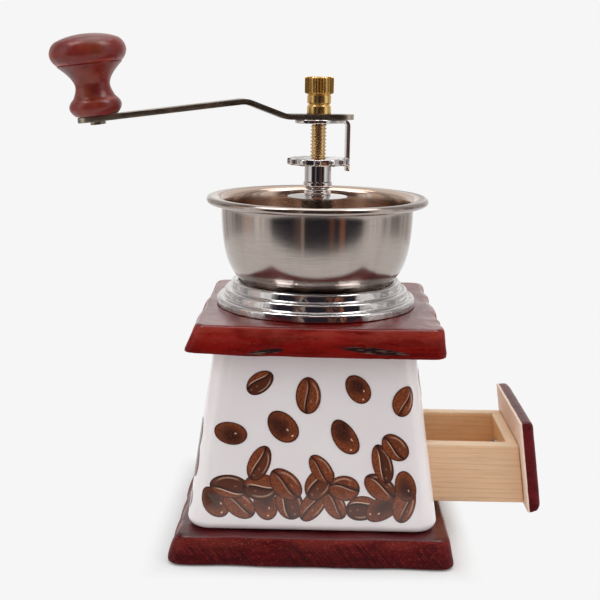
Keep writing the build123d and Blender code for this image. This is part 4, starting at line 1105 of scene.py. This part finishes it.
class GRINDER_OT_bowl(Maker, bpy.types.Operator):
    """Spins the steel bowl with its flared lip and rolled rim"""

    bl_idname = "grinder.bowl"
    bl_label = "Hopper Bowl"

    def make(self, size):
        wall = size.bowl_wall / MM
        low, high, rim = BOWL_LOW.z, BOWL_HIGH.z, BOWL_HIGH.x
        outside, (foot, belly, flank, brow) = bowl_outside()
        inner_brow = (brow[0] - wall, brow[1])
        inside = curve(
            [inner_brow, (flank[0] - 0.97 * wall, flank[1] + 0.2 * wall),
             (belly[0] - 0.75 * wall, belly[1] + 0.65 * wall), (foot[0], low + wall)], (0, -1), (-1, 0))
        under = curve([brow, (rim - 2 * RIM_ROLL, high - wall - RIM_ROLL / 2)], (0, 1), (1, 1))
        edge = arc((rim - RIM_ROLL, high - RIM_ROLL), -90, 90, RIM_ROLL, 12)
        lip = curve([(rim - RIM_ROLL, high), inner_brow], (-1, 0), (0, -1))
        piece = lathe("bowl", [
            (THROAT_R, low), *outside, *under, *edge, *lip[1:], *inside[1:],
            (THROAT_R, low + wall), (THROAT_R, low)], steps=160)
        mark = piece.data.attributes.new("inside", "FLOAT", "POINT")
        for vertex, value in zip(piece.data.vertices, mark.data):
            facing = vertex.normal.xy.dot(vertex.co.xy.normalized()) - vertex.normal.z * 0.8
            value.value = float(facing < -0.05 and vertex.co.xy.length < (rim - 2 * RIM_ROLL) * MM)
        keep(piece, "frame", "brushed_steel", spun_steel(), "hopper_bowl")


# ---- Bearing, wheel and spindle --------------------------------------------------------
BORE_R = SHAFT_R + 0.05                 # the hole that the spindle turns in
DISC_NECK_R, COLLAR_SEAT_R = 6.15, 5.75  # the disc's flat middle, below and above
DISC_BULGE_R, DISC_BULGE = 9.1, 0.5     # half the lens's thickness at a radius
DISC_EDGE = 0.25                        # half its thickness at the edge
BARREL_STEP, NECK_STEP = 0.4, 1.05      # how far the collar's barrel and neck lie inside its ring
COLLAR_FOOT, COLLAR_NECK, COLLAR_RING = 1.5, 2.8, 5.4    # tops of its foot, neck and ring
STEM_R, STEM_THREAD = 2.45, 0.35        # the spindle's stem above its thread, and the stem's thread
STEM_PITCH = 1.0
BEVEL = 0.5                             # bevels at the spindle's ends
THREAD_LAP = 1.0                        # how far the thread reaches into the wheel
STEM_BELOW_NUT = 3.7                    # how much of the stem shows below the nut
THREAD_ROOT = 0.25                      # how deep a thread's ridge is sunk in its core


class GRINDER_OT_bearing(Maker, bpy.types.Operator):
    """Turns the disc and the collar under the wheel"""

    bl_idname = "grinder.bearing"
    bl_label = "Disc and Collar"

    def make(self, size):
        low, high, radius = DISC_LOW.z, DISC_HIGH.z, DISC_HIGH.x
        middle = (low + high) / 2
        under = curve([(DISC_NECK_R, low), (DISC_BULGE_R, middle - DISC_BULGE),
                       (radius, middle - DISC_EDGE)], (1, -0.1), (1, 0.1))
        upper = curve([(radius, middle + DISC_EDGE), (DISC_BULGE_R, middle + DISC_BULGE),
                       (COLLAR_SEAT_R, high)], (-1, 0.1), (-1, 0.1))
        disc = lathe("bowl_disc_lens", [(BORE_R, low), *under, *upper, (BORE_R, high), (BORE_R, low)])
        shine = metal("Plain chrome", colours().chrome, 0.07, (2, 2, 2), spread=0.05)
        keep(disc, "frame", "chrome", shine, "bowl_disc")
        low, high, radius = COLLAR_LOW.z, COLLAR_HIGH.z, COLLAR_HIGH.x
        barrel, neck = radius - BARREL_STEP, radius - NECK_STEP
        foot_top, neck_top, ring_top = low + COLLAR_FOOT, low + COLLAR_NECK, low + COLLAR_RING
        corners = [
            (BORE_R, low, 0), (barrel, low, 0.3), (barrel, foot_top, 0.3), (neck, foot_top, 0.2),
            (neck, neck_top, 0.2), (radius, neck_top, 0.6), (radius, ring_top, 0.6),
            (barrel, ring_top, 0.15), (barrel, high, 0.3), (BORE_R, high, 0), (BORE_R, low, 0)]
        keep(lathe("collar", rounded(corners)), "frame", "chrome", shine, "bearing_collar")


class GRINDER_OT_spindle(Maker, bpy.types.Operator):
    """Turns the spindle and cuts its thread"""

    bl_idname = "grinder.spindle"
    bl_label = "Spindle"

    def make(self, size):
        pitch, depth = size.thread_pitch / MM, size.thread_depth / MM
        low, high = SPINDLE_LOW.z, SPINDLE_HIGH.z
        start, end = WHEEL_HIGH.z - THREAD_LAP, NUT_LOW.z - STEM_BELOW_NUT
        core, stem_core = SHAFT_R - depth, STEM_R - STEM_THREAD
        bar = lathe("spindle_rod", [
            (0, low), (SHAFT_R - BEVEL, low), (SHAFT_R, low + BEVEL), (SHAFT_R, start - BEVEL),
            (core, start), (core, end), (stem_core, end), (stem_core, high - BEVEL),
            (stem_core - 0.4, high), (0, high)], steps=48)
        coarse = self.ridge("coarse_thread", start, end, core, SHAFT_R, pitch)
        fine = self.ridge("fine_thread", end + STEM_PITCH, high - BEVEL, stem_core, STEM_R, STEM_PITCH)
        finish = metal("Spindle brass", colours().thread, 0.26, (2, 2, 1))
        keep(join(bar, coarse, fine), "spindle_set", "brass", finish, "spindle")

    @staticmethod
    def ridge(name, start, end, core, crest, pitch):
        """Screw thread's ridge between two heights, from a core out to a crest."""
        ridge = begin(name, "circle", vertices=4, radius=1.0, fill_type="NOTHING")
        close()
        root, half, flat = core - THREAD_ROOT, pitch * 0.42, pitch * 0.10
        section = [(root, -half), (crest, -flat), (crest, flat), (root, half)]
        for vertex, (across, up) in zip(ridge.data.vertices, section):
            vertex.co = (across * MM, 0, (start + up) * MM)
        modify(ridge, "SCREW", axis="Z", angle=2 * pi, screw_offset=pitch * MM,
               iterations=int((end - start) / pitch), steps=36, render_steps=36,
               use_merge_vertices=True, merge_threshold=MERGE / 10)
        edit(ridge)
        bpy.ops.mesh.fill_holes(sides=0)
        face_outwards()
        return ridge


# ---- Crank -----------------------------------------------------------------------------
class GRINDER_OT_nut(Maker, bpy.types.Operator):
    """Turns and knurls the brass thumb nut"""

    bl_idname = "grinder.nut"
    bl_label = "Thumb Nut"

    def make(self, size):
        low, high, head = NUT_LOW.z, NUT_HIGH.z, NUT_HIGH.x
        barrel, shoulder = head - 0.9, low + 7.5        # the barrel's radius and its top
        waist, rim = (low + shoulder) / 2, shoulder + 0.7
        corners = [
            (0, low, 0), (barrel, low, 0.25), (barrel - 0.15, waist - 0.6, 0.2),
            (barrel - 0.75, waist, 0.25), (barrel - 0.1, waist + 0.6, 0.2),
            (barrel - 0.1, shoulder - 0.4, 0.2), (barrel - 0.5, shoulder, 0.2), (head, rim, 0.3)]
        corners += [(head, rim + (high - rim) * k / 4, 0) for k in (1, 2, 3)]
        corners += [(head, high, 0.9), (0, high, 0)]
        piece = lathe("thumb_nut_brass", rounded(corners), steps=size.knurls * 6)
        edit(piece)
        step = 2 * pi / size.knurls
        shrink = 1 - size.knurl_depth / MM / 2 / head

        def in_flute(p, half_width):
            off = (atan2(p.y, p.x) + step / 2) % step - step / 2
            outside = shoulder + 0.2 < p.z < high - 0.05 and p.xy.length > head - 1.2
            return outside and abs(off) < half_width

        for share in (0.36, 0.12):
            pick(piece, "VERT", lambda p, n: in_flute(p, share * step))
            bpy.ops.transform.resize(value=(shrink, shrink, 1), center_override=(0, 0, 0))
        finish = metal("Brass", colours().brass, 0.22, (1.5, 1.5, 0.8), spread=0.12)
        keep(piece, "cap_nut", "brass", finish, "thumb_nut", smooth=28)


class GRINDER_OT_knob(Maker, bpy.types.Operator):
    """Turns the wooden knob"""

    bl_idname = "grinder.knob"
    bl_label = "Knob"

    def make(self, size):
        tall, low = 29.9, 1.35      # the wood's height, and where it starts above the joint
        wide, neck, bead, foot = 14.25, 6.65, 9.8, 7.9      # radii
        groove = 0.30               # half the width of a groove
        bead_top, waist, shoulder = (low + share * tall for share in (0.21, 0.40, 0.635))
        outline = [
            (0, low),
            *curve([(foot, low), (bead, low + 0.105 * tall), (bead * 0.86, bead_top - groove)],
                   (1, 0.8), (-1, 1)),
            *curve([(bead * 0.80, bead_top + groove), (neck, waist), (wide * 0.85, shoulder - groove)],
                   (-0.5, 1), (1.1, 1)),
            (wide * 0.84, shoulder),
            *curve([(wide * 0.87, shoulder + groove), (wide, low + 0.79 * tall),
                    (wide * 0.80, low + 0.93 * tall), (0, low + tall)], (1.1, 1), (-1, 0))]
        piece = lathe("turned_knob", outline)
        finish = knob_wood((bead_top - 2 * groove, shoulder + 2 * groove))
        keep(piece, "knob", "stained_wood", finish, "crank_knob")
        place(piece, KNOB_PLACE)


class GRINDER_OT_metalwork(Maker, bpy.types.Operator):
    """Rounds the edges of the crank's arm, its bracket and the wheel, and finishes small metal pieces"""

    bl_idname = "grinder.metalwork"
    bl_label = "Metalwork"

    def make(self, size):
        tone = colours()
        chrome = metal("Bright chrome", tone.chrome, 0.08, (1.5, 1.5, 1.5), spread=0.05, depth=0.03)
        dark = arm_metal()
        for node, name, rounding, body, slot, finish in (
                ("crank_arm", "arm", 0.35, "crank", "dark_steel", dark),
                ("lock_bracket", "bracket", 0.25, "crank", "chrome", chrome),
                ("adjusting_wheel", "wheel", 0.3, "spindle_set", "chrome", chrome)):
            keep(softened(node, name, rounding), body, slot, finish, node, smooth=50)
        dress(chrome, "bearing_bridge")
        dress(dark, "knob_pin")
        dress(metal("Zinc plate", tone.zinc, 0.35, (1, 1, 1)), "tie_bolts", "tie_washers",
              "flange_screws", "bridge_screws", "burr_washer", "burr_nut", "feed_spring",
              "spring_washer", "knob_bush", "drawer_panel_screws")
        dress(metal("Insert brass", tone.brass, 0.3, (1, 1, 1)), "tie_inserts")
        cast = metal("Burr iron", tone.iron, 0.55, (0.8, 0.8, 0.8), spread=0.2, depth=0.06)
        dress(cast, "outer_burr", "inner_burr")


# ---- Drawer ----------------------------------------------------------------------------
# Splinters out of the far side's upper edge: place along it and depth
SPLINTERS = ((35, 0.6), (44, 0.45), (47.5, 0.7), (62, 0.4))


class GRINDER_OT_drawer(Maker, bpy.types.Operator):
    """Roughens the drawer's plain boards and rounds its stained front"""

    bl_idname = "grinder.drawer"
    bl_label = "Drawer"

    def make(self, size):
        inside = box("drawer_bottom")[1].y
        top = box("drawer_side_far")[1].z
        sides = plain_wood("Drawer side wood", "x", inside, top)
        ends = plain_wood("Drawer end wood", "y", inside, top)
        for seed, (node, name, finish) in enumerate((
                ("drawer_side_near", "near_side", sides), ("drawer_side_far", "far_side", sides),
                ("drawer_inner_front", "inner_front", ends), ("drawer_back", "rear_board", ends))):
            piece = self.planed(node, name, 0.4, size, 0.08, 2.2, seed + 10)
            if node == "drawer_side_far":
                for along, deep in SPLINTERS:
                    press(piece, (box(node)[0].x + along, inside, top), (0, 0.25, -deep), 1.3)
            keep(piece, "drawer", "plain_wood", finish, node, smooth=40)
        dress(plain_wood("Drawer floor wood", "x", 2 * inside), "drawer_bottom")
        dress(plain_wood("Runner wood", "x"), "drawer_runners")
        plane = min(p.x + BODY_LEAN * p.z for p in mesh_points("drawer_front_panel"))
        panel = self.planed("drawer_front_panel", "front_panel", 0.35, size, 0.3, 9.0, 21)
        finish = panel_wood(plane, BODY_LEAN, box("drawer_front_panel")[1].z)
        keep(panel, "drawer", "panel_wood", finish, "drawer_front_panel", smooth=60)

    @staticmethod
    def planed(node, name, rounding, size, depth, lump, seed):
        """A CAD node's board, rounded and worn."""
        piece = softened(node, name, rounding)
        modify(piece, "REMESH", mode="VOXEL", voxel_size=size.plank_cell)
        wear(piece, depth, lump, seed)
        return piece


# ---- Stage -----------------------------------------------------------------------------
# The camera's place in metres and its turn in radians
CAMERA_AT = (0, -0.4229, 0.1816)
CAMERA_TURN = (pi / 2 - 0.208, -0.0140, 0.0181)
CAMERA_LENS, CAMERA_SENSOR = 63.3, 36
AIM = (0, 0, 0.08)          # where the lamps point

# Colours of the surroundings, and of the panels that only reflections see
WHITE = linear(246, 246, 246)
AROUND, STRIP, LAMP = linear(208, 203, 201), linear(250, 248, 246), (6.0, 6.0, 6.0)
GREY, STREAK, BLUSH = linear(110, 104, 102), linear(104, 98, 96), linear(236, 196, 170)
DARK, SLIT = linear(38, 38, 46), linear(196, 182, 170)
DUSK, COPPER = linear(150, 120, 104), linear(176, 112, 78)

# Sizes of the stage in metres, and where the floor starts and ends its change to an even glow
FLOOR_R, GLOW_FROM, GLOW_FULL = 3.0, 50.0 * MM, 66.0 * MM
PANELS_R, PANELS_TALL, APRON_SHARE = 0.55, 1.6, 0.22
FLOOR_GAP = 0.0005          # between the floor and the panels' foot
LAMPS = (                   # name, place, size and power in watts
    ("Left softbox", (-0.75, -0.25, 0.45), (0.6, 0.7), 2.6),
    ("Right softbox", (0.75, -0.25, 0.45), (0.6, 0.7), 2.6),
    ("Top softbox", (0, 0.1, 0.9), (0.8, 0.8), 3.0))
SKY_LIGHT = 0.50            # how strong the surroundings are as a light


def lamp(name, at, size, energy):
    """A rectangular soft lamp, in metres and watts."""
    data = bpy.data.lights.new(name, "AREA")
    data.shape = "RECTANGLE"
    data.size, data.size_y = size
    data.energy = energy
    light = linked(name, data)
    light.location = at
    light.rotation_euler = (Vector(AIM) - Vector(at)).to_track_quat("-Z", "Y").to_euler()


class GRINDER_OT_stage(Maker, bpy.types.Operator):
    """Sets the camera, the pale floor, the soft lamps, the panels and the white surroundings"""

    bl_idname = "grinder.stage"
    bl_label = "Stage"

    def make(self, size):
        scene = bpy.context.scene
        camera = linked("Camera", bpy.data.cameras.new("Camera"))
        camera.location = CAMERA_AT
        camera.rotation_euler = CAMERA_TURN
        camera.data.lens = CAMERA_LENS
        camera.data.sensor_width = CAMERA_SENSOR
        scene.camera = camera
        scene.view_settings.view_transform = "Standard"
        self.surroundings(scene)
        for row in LAMPS:
            lamp(*row)
        self.floor()
        self.panels()

    @staticmethod
    def surroundings(scene):
        """White for the camera and for reflections, softer as a light."""
        scene.world = bpy.data.worlds.new("Surroundings")
        scene.world.use_nodes = True
        nodes, links = scene.world.node_tree.nodes, scene.world.node_tree.links
        path, strength, sky = (
            nodes.new("ShaderNodeLightPath"), nodes.new("ShaderNodeMapRange"), nodes["Background"])
        sky.inputs["Color"].default_value = (*WHITE, 1)
        strength.inputs["To Min"].default_value = 1.0
        strength.inputs["To Max"].default_value = SKY_LIGHT
        links.new(path.outputs["Is Diffuse Ray"], strength.inputs["Value"])
        links.new(strength.outputs[0], sky.inputs["Strength"])

    @staticmethod
    def floor():
        """Pale floor that keeps the shadow and glows evenly further out."""
        piece = begin("Floor", "circle", vertices=96, radius=FLOOR_R, fill_type="NGON")
        close()
        f = Finish("Floor", base_color=WHITE, roughness=0.9, specular_ior_level=0.0)
        x, y, _ = f.axes()
        ray = f.add("ShaderNodeLightPath", {}, {})
        seen = ray["Is Camera Ray"].larger(ray["Is Glossy Ray"]).larger(ray["Is Transmission Ray"])
        glow = f.add("ShaderNodeEmission", {}, {"Color": WHITE, "Strength": 1.0})
        away = abs(x).larger(abs(y)).step(GLOW_FROM / MM, GLOW_FULL / MM)
        blend = f.add(
            "ShaderNodeMixShader", {}, {0: away * seen, 1: Num(f, f.shader.outputs[0]), 2: glow})
        output = next(n for n in f.tree.nodes if n.type == "OUTPUT_MATERIAL")
        f.feed(output.inputs["Surface"], blend)
        piece.data.materials.append(f.material)

    @staticmethod
    def panels():
        """A ring of dark, copper, grey and white panels and a floor before them, all seen only in
        reflections."""
        half = PANELS_TALL / 2
        piece = begin("Panels", "cylinder", vertices=96, radius=PANELS_R, depth=PANELS_TALL,
                      end_fill_type="NOTHING", location=(0, 0, half + FLOOR_GAP))
        pick(piece, "EDGE", lambda p, d: abs(d.z) < 0.1 and p.z < 1 - half / MM)
        bpy.ops.mesh.extrude_edges_move()
        bpy.ops.transform.resize(value=(APRON_SHARE, APRON_SHARE, 1))
        close()
        bpy.ops.object.transform_apply()
        f = Finish(
            "Panels", base_color=(0, 0, 0), roughness=1.0, specular_ior_level=0.0, emission_strength=1.0)
        x, y, z = f.axes()
        turn = x.math("ARCTAN2", x, 0 - y) / radians(1)     # degrees from the front
        side = abs(turn)
        streaks = f.add(
            "ShaderNodeTexNoise", {"noise_dimensions": "1D"}, {"W": turn, "Scale": 0.16, "Detail": 2.0})
        apron = z.fall(1.0, 3.0)
        around = f.layers(
            AROUND,
            (side.between(60, 64, 76, 82).larger(side.step(138, 156)), STRIP),
            (side.between(92, 100, 108, 116) * 0.6, GREY),
            (streaks.step(0.45, 0.62) * side.step(60, 66) * 0.4, STREAK),
            (turn.near(-86, 2, 7) * 0.5, BLUSH),
            (side.between(46, 54, 84, 94) * z.step(700, 760), LAMP),
            (apron, WHITE))
        warm = turn.near(29, 1.5, 4.5).larger(turn.near(17, 1.5, 4) * 0.5)
        warm = (warm * z.fall(150, 220)).larger(z.near(335, 25, 60))
        ahead = f.layers(
            DARK,
            (turn.near(-16, 0.6, 2.2) * 0.9, SLIT),
            (turn.near(-20, 1, 9) * 0.35, DUSK),
            (warm * 0.7, COPPER))
        front = side.fall(50, 60) * z.fall(850, 1000) * (1 - apron * (0 - y).fall(270, 315))
        piece.data.materials.append(f.set(emission_color=f.mix(front, around, ahead)))
        for ray in ("camera", "diffuse", "transmission", "volume_scatter", "shadow"):
            setattr(piece, f"visible_{ray}", False)


# ---- Add-on ----------------------------------------------------------------------------
OPERATORS = (
    GRINDER_OT_boards, GRINDER_OT_body, GRINDER_OT_flange, GRINDER_OT_bowl, GRINDER_OT_bearing,
    GRINDER_OT_spindle, GRINDER_OT_nut, GRINDER_OT_knob, GRINDER_OT_metalwork, GRINDER_OT_drawer,
    GRINDER_OT_stage)


class GRINDER_PT_panel(bpy.types.Panel):
    """Lists the grinder's pieces and settings"""

    bl_label = "Coffee Grinder"
    bl_idname = "GRINDER_PT_panel"
    bl_space_type = "VIEW_3D"
    bl_region_type = "UI"
    bl_category = "Grinder"

    def draw(self, context):
        for group in (context.scene.grinder_sizes, context.scene.grinder_colours):
            column = self.layout.column(align=True)
            for name in group.__annotations__:
                column.prop(group, name)
        for operator in OPERATORS:
            self.layout.operator(operator.bl_idname)


CLASSES = (GrinderSizes, GrinderColours, *OPERATORS, GRINDER_PT_panel)


def register():
    for cls in CLASSES:
        bpy.utils.register_class(cls)
    bpy.types.Scene.grinder_sizes = PointerProperty(type=GrinderSizes)
    bpy.types.Scene.grinder_colours = PointerProperty(type=GrinderColours)


def unregister():
    del bpy.types.Scene.grinder_colours
    del bpy.types.Scene.grinder_sizes
    for cls in reversed(CLASSES):
        bpy.utils.unregister_class(cls)


def main():
    register()
    for operator in OPERATORS:
        group, name = operator.bl_idname.split(".")
        getattr(getattr(bpy.ops, group), name)()
    alone()


if __name__ == "__main__":
    main()
